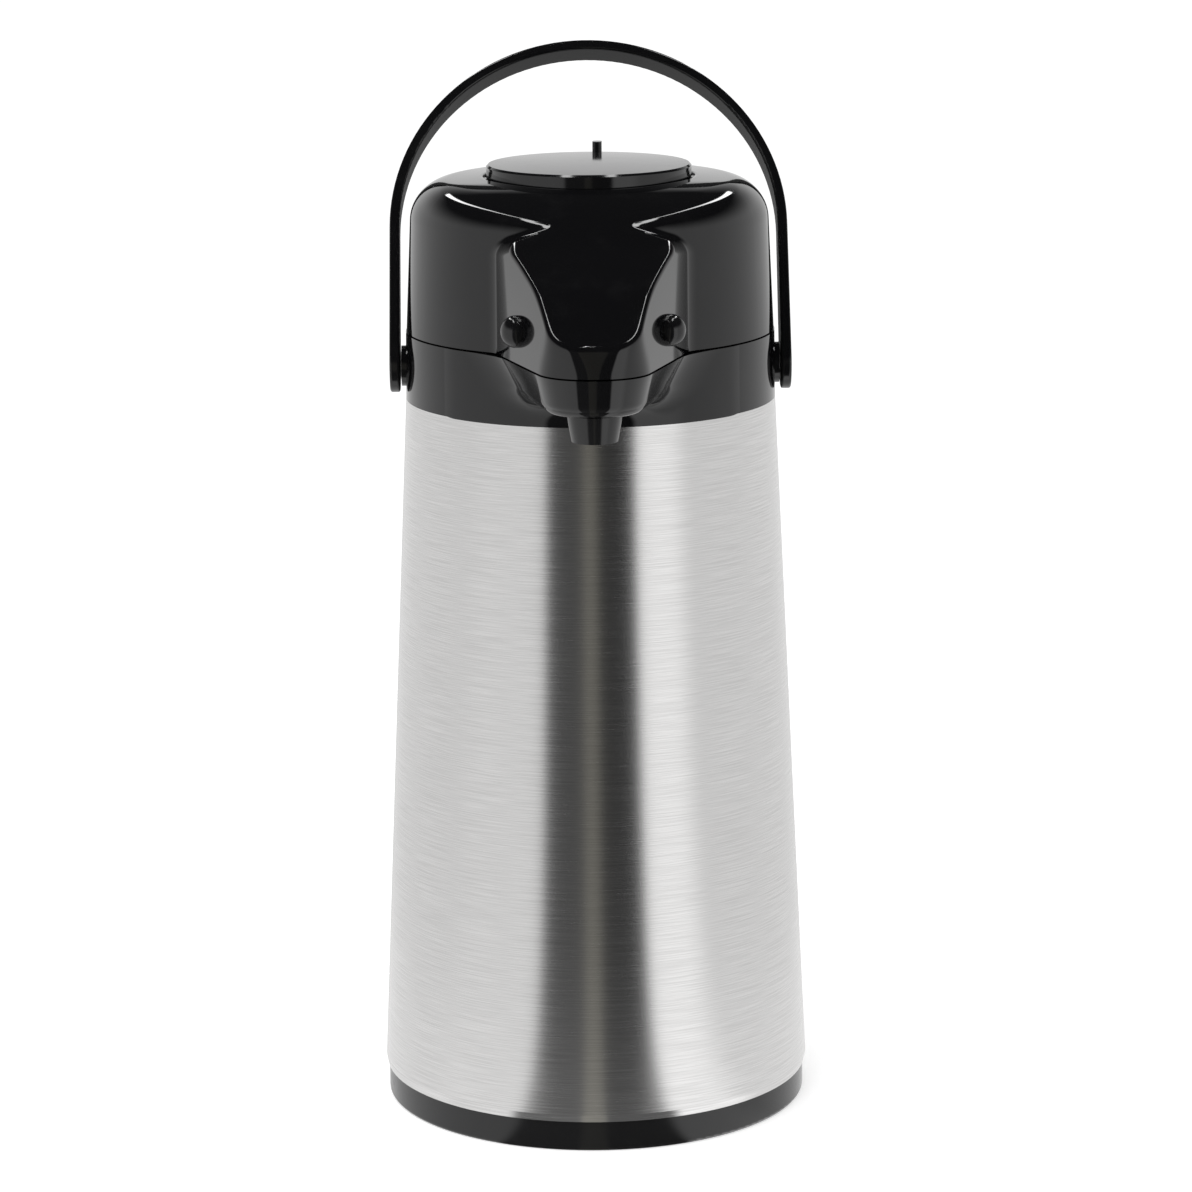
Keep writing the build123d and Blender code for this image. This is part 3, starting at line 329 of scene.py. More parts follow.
def buildFloor():
    material = bpy.data.materials.new("floorWhite")
    material.use_nodes = True
    material.node_tree.nodes.clear()
    f = Nodes(material.node_tree)
    place = f.add("ShaderNodeNewGeometry").outputs["Position"]
    split = f.add("ShaderNodeSeparateXYZ", in0=place).outputs
    # Painted pool of light: glossy rays see the floor a little brighter round the pot
    pool = f.smooth(f.reach(split[0], split[1]), floor["poolNear"], floor["poolFar"], floor["poolGlow"], 0.0)
    glow = f.mixColor(1.0, f.add("ShaderNodeGroup", node_tree=studioTree, in0=place).outputs[0], pool, "ADD")
    diffuse = f.add("ShaderNodeBsdfDiffuse", in0=floor["grey"])
    lift = f.add("ShaderNodeEmission", in0=studio["white"], in1=floor["lift"])
    shown = byRay(
        f,
        eye=f.add("ShaderNodeAddShader", in0=diffuse.outputs[0], in1=lift.outputs[0]),
        mirror=f.add("ShaderNodeEmission", in0=glow, in1=1.0),
        rest=diffuse,
    )
    f.add("ShaderNodeOutputMaterial", inSurface=shown.outputs[0])
    mesh = bpy.data.meshes.new("floor")
    corners = [(x * floor["half"], y * floor["half"], 0) for x, y in ((-1, -1), (1, -1), (1, 1), (-1, 1))]
    mesh.from_pydata(corners, [], [(0, 1, 2, 3)])
    mesh.materials.append(material)
    thing = bpy.data.objects.new("floor", mesh)
    scene.collection.objects.link(thing)
    return thing


floorObject = buildFloor()
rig.stage(floorObject)

lamps = {
    "topSoft": {
        "at": (-0.5, -0.5, 2.0), "target": (0, 0, 0.2), "size": (1.4, 1.4), "watts": 20.0, "glossy": False,
    },
    "frontDot": {
        "at": (0.0, -1.0, 2.1), "target": (0, -0.12, 0.32), "size": (0.012, 0.04), "watts": 0.22, "glossy": True,
    },
}
for name, lampFacts in lamps.items():
    lampData = bpy.data.lights.new(name, "AREA")
    lampData.shape = "RECTANGLE"
    lampData.size, lampData.size_y = lampFacts["size"]
    lampData.energy = lampFacts["watts"]
    lamp = bpy.data.objects.new(name, lampData)
    scene.collection.objects.link(lamp)
    lamp.location = lampFacts["at"]
    aim = Vector(lampFacts["target"]) - Vector(lampFacts["at"])
    lamp.rotation_euler = aim.to_track_quat("-Z", "Y").to_euler()
    lamp.visible_glossy = lampFacts["glossy"]
    lamp.visible_transmission = lampFacts["glossy"]
print("studio ready")

# Shared shader effects: dust, fine scratches and the slow waves of a moulded skin
wearSizes = {
    "dustScale": 40.0, "dustDetail": 6.0, "dustRough": 0.7, "dustLow": 0.5, "dustHigh": 0.75,
    "scratchTurn": (0.5, 0.3, 0.9), "scratchScale": (14.0, 900.0, 60.0), "scratchDetail": 2.0,
    "scratchLow": 0.68, "scratchHigh": 0.78, "waveScale": 26.0, "waveDetail": 1.0,
}
wearTree, g, gIn, gOut = newGroup(
    "surfaceWear",
    [("Scale", "NodeSocketFloat", wearSizes["dustScale"])],
    [("Dust", "NodeSocketFloat"), ("Scratch", "NodeSocketFloat"), ("Wave", "NodeSocketFloat")],
)
wearPoint = g.add("ShaderNodeTexCoord").outputs["Object"]
dustNoise = g.add("ShaderNodeTexNoise", inVector=wearPoint, inScale=gIn.outputs[0],
                  inDetail=wearSizes["dustDetail"], inRoughness=wearSizes["dustRough"])
g.link(g.smooth(dustNoise.outputs[0], wearSizes["dustLow"], wearSizes["dustHigh"]), gOut.inputs[0])
stretched = g.add("ShaderNodeMapping", inVector=wearPoint, inRotation=wearSizes["scratchTurn"],
                  inScale=wearSizes["scratchScale"])
scratchNoise = g.add("ShaderNodeTexNoise", inVector=stretched.outputs[0], inScale=1.0,
                     inDetail=wearSizes["scratchDetail"])
g.link(g.smooth(scratchNoise.outputs[0], wearSizes["scratchLow"], wearSizes["scratchHigh"]), gOut.inputs[1])
waveNoise = g.add("ShaderNodeTexNoise", inVector=wearPoint, inScale=wearSizes["waveScale"],
                  inDetail=wearSizes["waveDetail"])
g.link(waveNoise.outputs[0], gOut.inputs[2])

# Brush lines that run round the pot's axis
brushSizes = {"coarseTurn": 3.0, "coarseRise": 2600.0, "coarseDetail": 4.0, "coarseRough": 0.65,
              "fineTurn": 9.0, "fineRise": 7000.0, "fineDetail": 2.0}
brushOutputs = [("Line", "NodeSocketFloat"), ("Fine", "NodeSocketFloat")]
brushTree, b, _, bOut = newGroup("turnedBrush", [], brushOutputs)
brushSplit = b.add("ShaderNodeSeparateXYZ", in0=b.add("ShaderNodeTexCoord").outputs["Object"]).outputs
brushTurn = b.math("ARCTAN2", brushSplit[1], brushSplit[0])
brushCoarse = b.add("ShaderNodeCombineXYZ", in0=b.times(brushTurn, brushSizes["coarseTurn"]),
                    in1=b.times(brushSplit[2], brushSizes["coarseRise"]))
brushFine = b.add("ShaderNodeCombineXYZ", in0=b.times(brushTurn, brushSizes["fineTurn"]),
                  in1=b.times(brushSplit[2], brushSizes["fineRise"]))
coarseNoise = b.add("ShaderNodeTexNoise", inVector=brushCoarse.outputs[0], inScale=1.0,
                    inDetail=brushSizes["coarseDetail"], inRoughness=brushSizes["coarseRough"])
fineNoise = b.add("ShaderNodeTexNoise", inVector=brushFine.outputs[0], inScale=1.0,
                  inDetail=brushSizes["fineDetail"])
b.link(coarseNoise.outputs[0], bOut.inputs[0])
b.link(fineNoise.outputs[0], bOut.inputs[1])


def startMaterial(name):
    material = bpy.data.materials.new(name)
    material.use_nodes = True
    return material, Nodes(material.node_tree), material.node_tree.nodes["Principled BSDF"]


moulded = {"dustScale": 55.0, "wornRough": 0.5, "scratchDepth": -0.02, "waveHeight": 0.00008,
           "grainScale": 2600.0, "grainDetail": 2.0, "grainHeight": 0.0001, "ior": 1.5, "specular": 0.5}


def plastic(name, color, rough, dusty=0.03, grain=0.0):
    material, m, shader = startMaterial(name)
    wear = m.add("ShaderNodeGroup", node_tree=wearTree, in0=moulded["dustScale"]).outputs
    pale = tuple(min(1.0, c + dusty) for c in color) + (1.0,)
    m.link(m.mixColor(wear["Dust"], color + (1.0,), pale), shader.inputs["Base Color"])
    worn = m.times(m.plus(wear["Dust"], wear["Scratch"]), rough * moulded["wornRough"])
    m.link(m.plus(rough, worn), shader.inputs["Roughness"])
    height = m.plus(wear["Wave"], m.times(wear["Scratch"], moulded["scratchDepth"]))
    bump = m.add("ShaderNodeBump", inStrength=1.0, inDistance=moulded["waveHeight"], inHeight=height)
    if grain:
        grainNoise = m.add("ShaderNodeTexNoise", inVector=m.add("ShaderNodeTexCoord").outputs["Object"],
                           inScale=moulded["grainScale"], inDetail=moulded["grainDetail"])
        bump = m.add("ShaderNodeBump", inStrength=grain, inDistance=moulded["grainHeight"],
                     inHeight=grainNoise.outputs[0], inNormal=bump.outputs[0])
    m.link(bump.outputs[0], shader.inputs["Normal"])
    shader.inputs["IOR"].default_value = moulded["ior"]
    shader.inputs["Specular IOR Level"].default_value = moulded["specular"]
    return material


polished = {"dullShare": 0.85, "scratchRough": 0.1}


def metal(name, color, rough):
    material, m, shader = startMaterial(name)
    wear = m.add("ShaderNodeGroup", node_tree=wearTree).outputs
    dull = tuple(c * polished["dullShare"] for c in color) + (1.0,)
    m.link(m.mixColor(wear["Dust"], color + (1.0,), dull), shader.inputs["Base Color"])
    m.link(m.plus(rough, m.times(wear["Scratch"], polished["scratchRough"])), shader.inputs["Roughness"])
    shader.inputs["Metallic"].default_value = 1.0
    return material


brushed = {
    "low": 0.3, "high": 0.7, "dark": (0.6, 0.595, 0.59, 1.0), "bright": (0.75, 0.745, 0.74, 1.0),
    "rough": 0.22, "lineRough": 0.08, "bump": 0.25, "bumpHeight": 0.00002, "stretch": 0.75, "turn": 0.25,
}


def brushedMetal(name):
    material, m, shader = startMaterial(name)
    brush = m.add("ShaderNodeGroup", node_tree=brushTree).outputs
    line = m.smooth(brush["Line"], brushed["low"], brushed["high"])
    m.link(m.mixColor(line, brushed["dark"], brushed["bright"]), shader.inputs["Base Color"])
    m.link(m.plus(brushed["rough"], m.times(brush["Line"], brushed["lineRough"])), shader.inputs["Roughness"])
    bump = m.add("ShaderNodeBump", inStrength=brushed["bump"], inDistance=brushed["bumpHeight"],
                 inHeight=m.plus(brush["Line"], brush["Fine"]))
    m.link(bump.outputs[0], shader.inputs["Normal"])
    tangent = m.add("ShaderNodeTangent", direction_type="RADIAL", axis="Z")
    m.link(tangent.outputs[0], shader.inputs["Tangent"])
    shader.inputs["Metallic"].default_value = 1.0
    shader.inputs["Anisotropic"].default_value = brushed["stretch"]
    shader.inputs["Anisotropic Rotation"].default_value = brushed["turn"]
    return material


bail = {
    "archZ": 0.346, "polish": 0.1, "dullRough": 0.5, "scratchRough": 0.05, "insideLow": 0.3, "insideHigh": 0.6,
    "black": (0.004, 0.004, 0.0045, 1.0), "dust": (0.007, 0.007, 0.0075, 1.0),
}


def bailPlastic(name):
    # Glossy outside and dull on the faces that look at the middle of the arch
    material, m, shader = startMaterial(name)
    facing = m.add("ShaderNodeVectorTransform", vector_type="NORMAL", convert_from="WORLD",
                   convert_to="OBJECT", in0=m.add("ShaderNodeNewGeometry").outputs["Normal"])
    split = m.add("ShaderNodeSeparateXYZ", in0=m.add("ShaderNodeTexCoord").outputs["Object"]).outputs
    above = m.math("MAXIMUM", m.minus(split[2], bail["archZ"]), 0.0)
    towards = m.add("ShaderNodeCombineXYZ", in0=m.times(split[0], -1.0), in2=m.times(above, -1.0))
    unit = m.add("ShaderNodeVectorMath", operation="NORMALIZE", in0=towards.outputs[0])
    inward = m.add("ShaderNodeVectorMath", operation="DOT_PRODUCT",
                   in0=facing.outputs[0], in1=unit.outputs[0])
    inside = m.smooth(inward.outputs["Value"], bail["insideLow"], bail["insideHigh"])
    wear = m.add("ShaderNodeGroup", node_tree=wearTree).outputs
    m.link(m.mixColor(wear["Dust"], bail["black"], bail["dust"]), shader.inputs["Base Color"])
    outer = m.plus(bail["polish"], m.times(wear["Scratch"], bail["scratchRough"]))
    m.link(m.plus(outer, m.times(inside, bail["dullRough"])), shader.inputs["Roughness"])
    return material


looks = {
    "glossBlack": plastic("glossBlack", (0.004, 0.004, 0.0045), 0.05, 0.002),
    "padBlack": plastic("padBlack", (0.005, 0.005, 0.0055), 0.1, 0.004),
    "handleBlack": bailPlastic("handleBlackInside"),
    "buttonBlack": plastic("buttonBlack", (0.006, 0.006, 0.0065), 0.14, 0.004),
    "spoutBlack": plastic("spoutBlack", (0.01, 0.01, 0.0105), 0.16, 0.004),
    "baseBlack": plastic("baseBlack", (0.008, 0.008, 0.0085), 0.2, 0.004, grain=0.1),
    "whitePlastic": plastic("whitePlastic", (0.75, 0.75, 0.73), 0.35, 0.0),
    "greyRubber": plastic("greyRubber", (0.2, 0.2, 0.2), 0.6, 0.03, grain=0.3),
    "bellowsRubber": plastic("bellowsRubber", (0.1, 0.1, 0.1), 0.55, 0.03, grain=0.3),
    "clearHose": plastic("clearHose", (0.7, 0.71, 0.7), 0.25, 0.0),
    "silveredGlass": metal("silveredGlass", (0.8, 0.82, 0.83), 0.04),
    "pinSteel": metal("pinSteel", (0.7, 0.7, 0.7), 0.15),
    "springSteel": metal("springSteel", (0.55, 0.55, 0.55), 0.22),
    "ballSteel": metal("ballSteel", (0.75, 0.75, 0.75), 0.06),
    "brushedSteel": brushedMetal("brushedSteel"),
}
slotLook = {
    "base_black": "baseBlack", "gloss_black": "glossBlack", "pad_black": "padBlack",
    "handle_black": "handleBlack", "button_black": "buttonBlack", "spout_black": "spoutBlack",
    "brushed_steel": "brushedSteel", "silvered_glass": "silveredGlass", "grey_rubber": "greyRubber",
    "bellows_rubber": "bellowsRubber", "white_plastic": "whitePlastic", "clear_hose": "clearHose",
    "pin_steel": "pinSteel", "spring_steel": "springSteel", "ball_steel": "ballSteel",
}
for part in frame["record"]["subparts"]:
    mesh = nodes[part["node"]].data
    mesh.materials.clear()
    mesh.materials.append(looks[slotLook[part["material_slot"]]])
print("materials ready")


# Shapes worked out as distances, in millimetres: negative inside, positive outside
def roundedMeet(a, b, radius):
    corner = np.hypot(np.maximum(a + radius, 0.0), np.maximum(b + radius, 0.0))
    return np.minimum(-radius, np.maximum(a, b)) + corner


def softJoin(a, b, radius):
    corner = np.hypot(np.maximum(radius - a, 0.0), np.maximum(radius - b, 0.0))
    return np.maximum(radius, np.minimum(a, b)) - corner


def ease(t):
    return t * t * (3 - 2 * t)


def beakPlan(x, y, rootX, rootY, tipX, tipY, bend):
    # Seen from above: two flanks that narrow to a front with round corners
    side = np.abs(x)
    turn = np.arctan2(rootX - tipX, rootY - tipY)
    c, s = np.cos(turn), np.sin(turn)
    flank = (side - rootX) * c - (y - rootY) * s
    centreY = tipY + bend
    centreX = rootX + (s * (centreY - rootY) - bend) / c
    dx, dy = side - centreX, y - centreY
    corner = np.hypot(dx, dy) - bend
    return np.where((dx > 0) & (dx * s + dy * c < 0), corner, np.maximum(flank, tipY - y))


# Lid: a dome with a hole for the press pad and a beak over the spout
lid = {
    "footZ": 311.3, "footR": 72.1, "lean": 0.0466, "holeR": 41.3, "holeZ": 371.1, "topFall": 0.066,
    "shoulder": 14.5, "wall": 2.6, "guideR": 45.6, "guideLowZ": 330.0, "guideEdge": 1.0, "guideDrop": 0.5,
    "brim": 0.5, "brimIn": 0.15, "brimDrop": 0.12,
    "fineHalf": 64.0, "fineStep": 0.3, "quickStep": 0.5, "coarseStep": 2.0,
    "outRays": 380, "outSteps": 96, "inRays": 160, "inSteps": 40, "bendWeight": 14.0,
}
beak = {
    "rootX": 39.5, "rootY": -54.0, "tipX": 16.0, "tipY": -126.0,
    "bend": 20.0, "highBend": 12.0, "bendRise": 16.0, "lean": 0.01, "leanGrowth": 0.0008, "leanReach": 75.0,
    "roofZ": 360.0, "roofFall": 0.3, "roofFlat": 12.0, "roofRound": 4.5, "roofShare": 0.95,
    "crease": 2.0, "edge": 1.5, "crown": 0.0016, "backIn": 25.0, "slopeShare": 0.87,
    "slope": [
        (-122.5, 325.0), (-105.0, 340.6), (-90.0, 348.2), (-77.0, 354.0), (-68.0, 359.7),
        (-60.0, 364.3), (-54.0, 366.9), (-48.0, 368.9), (-40.0, 371.0), (-20.0, 375.5),
    ],
}
cast = {"reach": 110.0, "halvings": 26, "blur": 5}


def slopeCurve(points):
    # A smooth line through the points, whose steepness at each is a mean of the steps beside it
    y = np.array([p[0] for p in points])
    z = np.array([p[1] for p in points])
    step = np.diff(y)
    rise = np.diff(z) / step
    middle = (rise[1:] * step[:-1] + rise[:-1] * step[1:]) / (step[1:] + step[:-1])
    tilt = np.concatenate([[rise[0]], middle, [rise[-1]]])

    def height(at):
        i = np.clip(np.searchsorted(y, at) - 1, 0, len(step) - 1)
        t = (at - y[i]) / step[i]
        inside = np.clip(t, 0.0, 1.0)
        h = (1 + 2 * inside) * (1 - inside) ** 2 * z[i] + inside * (1 - inside) ** 2 * step[i] * tilt[i]
        h = h + inside**2 * (3 - 2 * inside) * z[i + 1] + inside**2 * (inside - 1) * step[i] * tilt[i + 1]
        return h + (t - inside) * step[i] * np.where(t < 0, tilt[i], tilt[i + 1])

    return height


slopeHeight = slopeCurve(beak["slope"])


def lidSkin(x, y, z):
    r = np.hypot(x, y)
    wall = r - lid["footR"] + (z - lid["footZ"]) * lid["lean"]
    top = z - lid["holeZ"] + lid["topFall"] * (r - lid["holeR"])
    dome = roundedMeet(wall, top, lid["shoulder"])
    lean = beak["lean"] + beak["leanGrowth"] * np.clip(beak["rootY"] - y, 0.0, beak["leanReach"])
    rise = ease(np.clip((z - lid["footZ"]) / beak["bendRise"], 0.0, 1.0))
    bend = beak["bend"] - (beak["bend"] - beak["highBend"]) * rise
    plan = beakPlan(x, y, beak["rootX"], beak["rootY"], beak["tipX"], beak["tipY"], bend)
    flank = plan + (z - lid["footZ"]) * lean
    fall = beak["roofFall"] * np.maximum(np.abs(x) - beak["roofFlat"], 0.0)
    roof = (z - beak["roofZ"] + fall) * beak["roofShare"]
    nose = np.maximum(roundedMeet(flank, roof, beak["roofRound"]), y + beak["backIn"])
    slope = (z - slopeHeight(y) + beak["crown"] * x * x) * beak["slopeShare"]
    return roundedMeet(softJoin(dome, nose, beak["crease"]), slope, beak["edge"])


def ringAngles(fineHalf, fineStep, coarseStep):
    # Directions round the axis from the spout, close together about the nose
    fine = np.linspace(-fineHalf, fineHalf, int(2 * fineHalf / fineStep) + 1)
    coarse = np.linspace(fineHalf, 360.0 - fineHalf, int((360.0 - 2 * fineHalf) / coarseStep) + 1)[1:-1]
    return np.radians(np.concatenate([fine, coarse]))


def castSkin(shape, turns, startR, startZ, lowAngle, highAngle, level, rays):
    # Where rays from inside the wall meet the skin, for each direction round the axis
    lift = np.radians(np.linspace(lowAngle, highAngle, rays))[None, :]
    sinTurn, cosTurn = np.sin(turns)[:, None], np.cos(turns)[:, None]
    near = np.zeros((len(turns), rays))
    far = np.full((len(turns), rays), cast["reach"])
    for _ in range(cast["halvings"]):
        middle = (near + far) / 2
        r = startR + middle * np.cos(lift)
        z = startZ + middle * np.sin(lift)
        outside = shape(r * sinTurn, -r * cosTurn, z) > level
        far = np.where(outside, middle, far)
        near = np.where(outside, near, middle)
    return startR + near * np.cos(lift), startZ + near * np.sin(lift)


def evenRows(rows, count, bendWeight):
    # The same number of points on every row, closer together where the row bends
    r, z = rows
    dr, dz = np.diff(r, axis=1), np.diff(z, axis=1)
    length = np.hypot(dr, dz)
    heading = np.unwrap(np.arctan2(dz, dr), axis=1)
    turn = np.zeros_like(length)
    turn[:, 1:] = np.abs(np.diff(heading, axis=1))
    turn[:, :-1] += turn[:, 1:]
    kernel = np.ones(cast["blur"]) / cast["blur"]
    weight = np.apply_along_axis(np.convolve, 1, length + bendWeight * turn, kernel, mode="same")
    run = np.concatenate([np.zeros((len(r), 1)), np.cumsum(weight, axis=1)], axis=1)
    outR, outZ = np.empty((len(r), count)), np.empty((len(r), count))
    for i in range(len(r)):
        marks = np.linspace(0.0, run[i, -1], count)
        outR[i] = np.interp(marks, run[i], r[i])
        outZ[i] = np.interp(marks, run[i], z[i])
    return outR, outZ


def addMesh(name, points, faces, look, sharpAngle=38.0):
    mesh = bpy.data.meshes.new(name)
    mesh.from_pydata([tuple(p) for p in np.asarray(points) * mm], [], faces)
    mesh.validate()
    shell = bmesh.new()
    shell.from_mesh(mesh)
    bmesh.ops.recalc_face_normals(shell, faces=shell.faces)
    if shell.calc_volume(signed=True) < 0:
        bmesh.ops.reverse_faces(shell, faces=shell.faces)
    shell.to_mesh(mesh)
    shell.free()
    mesh.shade_smooth()
    mesh.set_sharp_from_angle(angle=math.radians(sharpAngle))
    mesh.materials.append(looks[look])
    thing = bpy.data.objects.new(name, mesh)
    scene.collection.objects.link(thing)
    return thing


def ringFaces(turns, steps):
    # Four-sided faces over rows that close on themselves both ways
    row = np.arange(turns)[:, None]
    column = np.arange(steps)[None, :]
    start, after = row * steps, (row + 1) % turns * steps
    beside = (column + 1) % steps
    corners = [start + column, after + column, after + beside, start + beside]
    return np.stack(corners, axis=-1).reshape(-1, 4).tolist()


def turnedPoints(turns, r, z):
    x = r * np.sin(turns)[:, None]
    y = -r * np.cos(turns)[:, None]
    return np.stack([x, y, np.broadcast_to(z, x.shape)], axis=-1).reshape(-1, 3)


def buildLid():
    turns = ringAngles(lid["fineHalf"], lid["quickStep"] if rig.quick else lid["fineStep"], lid["coarseStep"])
    count = len(turns)
    rows = castSkin(lidSkin, turns, lid["holeR"], lid["footZ"], 0.0, 90.0, 0.0, lid["outRays"])
    r, z = evenRows(rows, lid["outSteps"], lid["bendWeight"])
    rows = castSkin(lidSkin, turns, lid["guideR"], lid["footZ"], 90.0, 0.0, -lid["wall"], lid["inRays"])
    rIn, zIn = evenRows(rows, lid["inSteps"], lid["bendWeight"])
    holeR, guideR, edgeZ = lid["holeR"], lid["guideR"], z[:, -1:]
    lowZ = np.full_like(edgeZ, lid["guideLowZ"])
    r[:, -1] = holeR + lid["brim"]
    innerR = np.array([holeR + lid["brimIn"], holeR, holeR, holeR, guideR, guideR])
    innerZ = [edgeZ - lid["brimDrop"], edgeZ - lid["brim"], lowZ + lid["guideEdge"], lowZ, lowZ,
              zIn[:, :1] - lid["guideDrop"]]
    allR = np.concatenate([r, np.broadcast_to(innerR, (count, len(innerR))), rIn], axis=1)
    allZ = np.concatenate([z, *innerZ, zIn], axis=1)
    return addMesh("lidSkin", turnedPoints(turns, allR, allZ), ringFaces(count, allR.shape[1]), "glossBlack")


knuckle = {"y": 77.5, "z": 313.0, "r": 4.0, "holeR": 1.7, "half": 9.7, "step": 9.0,
           "web": [(69.6, 311.4), (76.4, 311.4), (78.4, 316.4), (70.9, 322.0)]}


def buildKnuckle():
    # Hinge barrel and its web, which hold the lid on the pin
    half, radius, hole = knuckle["half"], knuckle["r"], knuckle["holeR"]
    turns = np.radians(np.arange(0.0, 360.0, knuckle["step"]))
    points, faces = [], ringFaces(len(turns), 4)
    for angle in turns:
        for x, r in ((-half, radius), (half, radius), (half, hole), (-half, hole)):
            points.append((x, knuckle["y"] + r * math.cos(angle), knuckle["z"] + r * math.sin(angle)))
    first = len(points)
    for x in (-half, half):
        points.extend((x, y, z) for y, z in knuckle["web"])
    faces.extend([[first + 3, first + 2, first + 1, first], [first + 4, first + 5, first + 6, first + 7]])
    faces.extend([first + i, first + (i + 1) % 4, first + 4 + (i + 1) % 4, first + 4 + i] for i in range(4))
    return addMesh("lidKnuckle", points, faces, "glossBlack")


lidObject = buildLid()
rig.ride(lidObject, "lid")
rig.replaces(lidObject, "lid_dome")
knuckleObject = buildKnuckle()
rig.ride(knuckleObject, "lid")
print("lid ready")

# Coves between the collar and the jaw, laid over the solid jaw
jaw = {
    "topZ": 310.7, "lowZ": 284.6, "startR": 60.0, "coneR": 72.7, "coneLean": 0.0112, "floorZ": 295.5,
    "drop": 15.5, "deepest": 1.3, "lowRootX": 31.0, "lowTipX": 14.5, "lowTipY": -119.5, "lowBend": 17.0,
    "lip": 4.5, "coveTop": 9.0, "coveLow": 11.0, "proud": 0.3, "under": 0.7, "wall": 1.0,
    "reach": 60.0, "dive": 46.0, "step": 0.5, "quickStep": 1.0,
    "outRays": 300, "outSteps": 80, "inRays": 120, "inSteps": 30, "bendWeight": 8.0,
}


def jawSkin(x, y, z):
    fall = np.clip((jaw["topZ"] - z) / jaw["drop"], 0.0, jaw["deepest"])
    cone = np.hypot(x, y) - jaw["coneR"] + (z - jaw["lowZ"]) * jaw["coneLean"]
    top = beakPlan(x, y, beak["rootX"], beak["rootY"], beak["tipX"], beak["tipY"], beak["bend"])
    low = beakPlan(x, y, jaw["lowRootX"], beak["rootY"], jaw["lowTipX"], jaw["lowTipY"], jaw["lowBend"])
    wall = np.maximum((1.0 - fall) * top + fall * low, y + beak["backIn"])
    cove = jaw["coveTop"] + (jaw["coveLow"] - jaw["coveTop"]) * np.clip(fall, 0.0, 1.0)
    return softJoin(cone, roundedMeet(wall, jaw["floorZ"] - z, jaw["lip"]), cove)


def buildJaw():
    # The shell stands a little proud of the jaw and dives under the collar's skin at both ends
    step = jaw["quickStep"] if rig.quick else jaw["step"]
    turns = np.radians(np.arange(-jaw["reach"], jaw["reach"] + 0.1, step))
    edge = np.clip((np.abs(np.degrees(turns)) - jaw["dive"]) / (jaw["reach"] - jaw["dive"]), 0.0, 1.0)
    level = jaw["proud"] - (jaw["proud"] + jaw["under"]) * ease(edge)[:, None]
    lowAngle = -math.degrees(math.atan2(jaw["topZ"] - jaw["lowZ"], jaw["coneR"] - jaw["startR"]))
    rows = castSkin(jawSkin, turns, jaw["startR"], jaw["topZ"], lowAngle, 0.0, level, jaw["outRays"])
    r, z = evenRows(rows, jaw["outSteps"], jaw["bendWeight"])
    level = level - jaw["wall"]
    rows = castSkin(jawSkin, turns, jaw["startR"], jaw["topZ"], 0.0, lowAngle, level, jaw["inRays"])
    rIn, zIn = evenRows(rows, jaw["inSteps"], jaw["bendWeight"])
    points = turnedPoints(turns, np.concatenate([r, rIn], axis=1), np.concatenate([z, zIn], axis=1))
    count, steps = len(turns), jaw["outSteps"] + jaw["inSteps"]
    faces = ringFaces(count, steps)[: (count - 1) * steps]
    faces.append(list(range(steps)))
    faces.append(list(range((count - 1) * steps, count * steps))[::-1])
    return addMesh("jawCoves", points, faces, "glossBlack")


jawObject = buildJaw()
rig.ride(jawObject, "pot")
print("jaw ready")

# Springs and bellows, which shorten with the press pad and the side buttons
springs = {
    "returnWire": 0.0008, "returnR": 0.0155, "returnTurns": 7.0, "latchWire": 0.0005, "latchR": 0.0036,
    "latchTurns": 5.0, "latchX": 0.950645, "latchY": -0.31028, "turnSteps": 28, "wireSteps": 10,
}


def coilTree():
    tree = bpy.data.node_groups.new("coil", "GeometryNodeTree")
    kinds = {"Turns": "Float", "Radius": "Float", "Length": "Float", "Wire": "Float", "Place": "Vector",
             "Tilt": "Vector", "Finish": "Material"}
    sizes = {}
    for label, kind in kinds.items():
        socket = tree.interface.new_socket(label, in_out="INPUT", socket_type="NodeSocket" + kind)
        sizes[label] = socket.identifier
    tree.interface.new_socket("Geometry", in_out="OUTPUT", socket_type="NodeSocketGeometry")
    build = Nodes(tree)
    given = build.add("NodeGroupInput").outputs
    spiral = build.add("GeometryNodeCurveSpiral", inResolution=springs["turnSteps"],
                       inRotations=given["Turns"], inHeight=given["Length"])
    build.link(given["Radius"], spiral.inputs["Start Radius"])
    build.link(given["Radius"], spiral.inputs["End Radius"])
    section = build.add("GeometryNodeCurvePrimitiveCircle", inResolution=springs["wireSteps"],
                        inRadius=given["Wire"])
    wire = build.add("GeometryNodeCurveToMesh", inCurve=spiral.outputs[0])
    build.link(section.outputs[0], wire.inputs["Profile Curve"])
    wire.inputs["Fill Caps"].default_value = True
    placed = build.add("GeometryNodeTransform", inGeometry=wire.outputs[0], inTranslation=given["Place"],
                       inRotation=given["Tilt"])
    smooth = build.add("GeometryNodeSetShadeSmooth", inGeometry=placed.outputs[0])
    real = build.add("GeometryNodeRealizeInstances", inGeometry=smooth.outputs[0])
    finished = build.add("GeometryNodeSetMaterial", inGeometry=real.outputs[0], inMaterial=given["Finish"])
    build.link(finished.outputs[0], build.add("NodeGroupOutput").inputs[0])
    return tree, sizes


def grow(name, values):
    start = bpy.data.objects.new(name + "Start", bpy.data.meshes.new(name + "Start"))
    scene.collection.objects.link(start)
    modifier = start.modifiers.new(name, "NODES")
    modifier.node_group = coil
    for label, value in values.items():
        modifier[coilSizes[label]] = value
    modifier[coilSizes["Finish"]] = looks["springSteel"]
    bpy.context.view_layer.update()
    grown = bpy.data.meshes.new_from_object(start.evaluated_get(bpy.context.evaluated_depsgraph_get()))
    grown.name = name
    bpy.data.objects.remove(start)
    thing = bpy.data.objects.new(name, grown)
    scene.collection.objects.link(thing)
    return thing


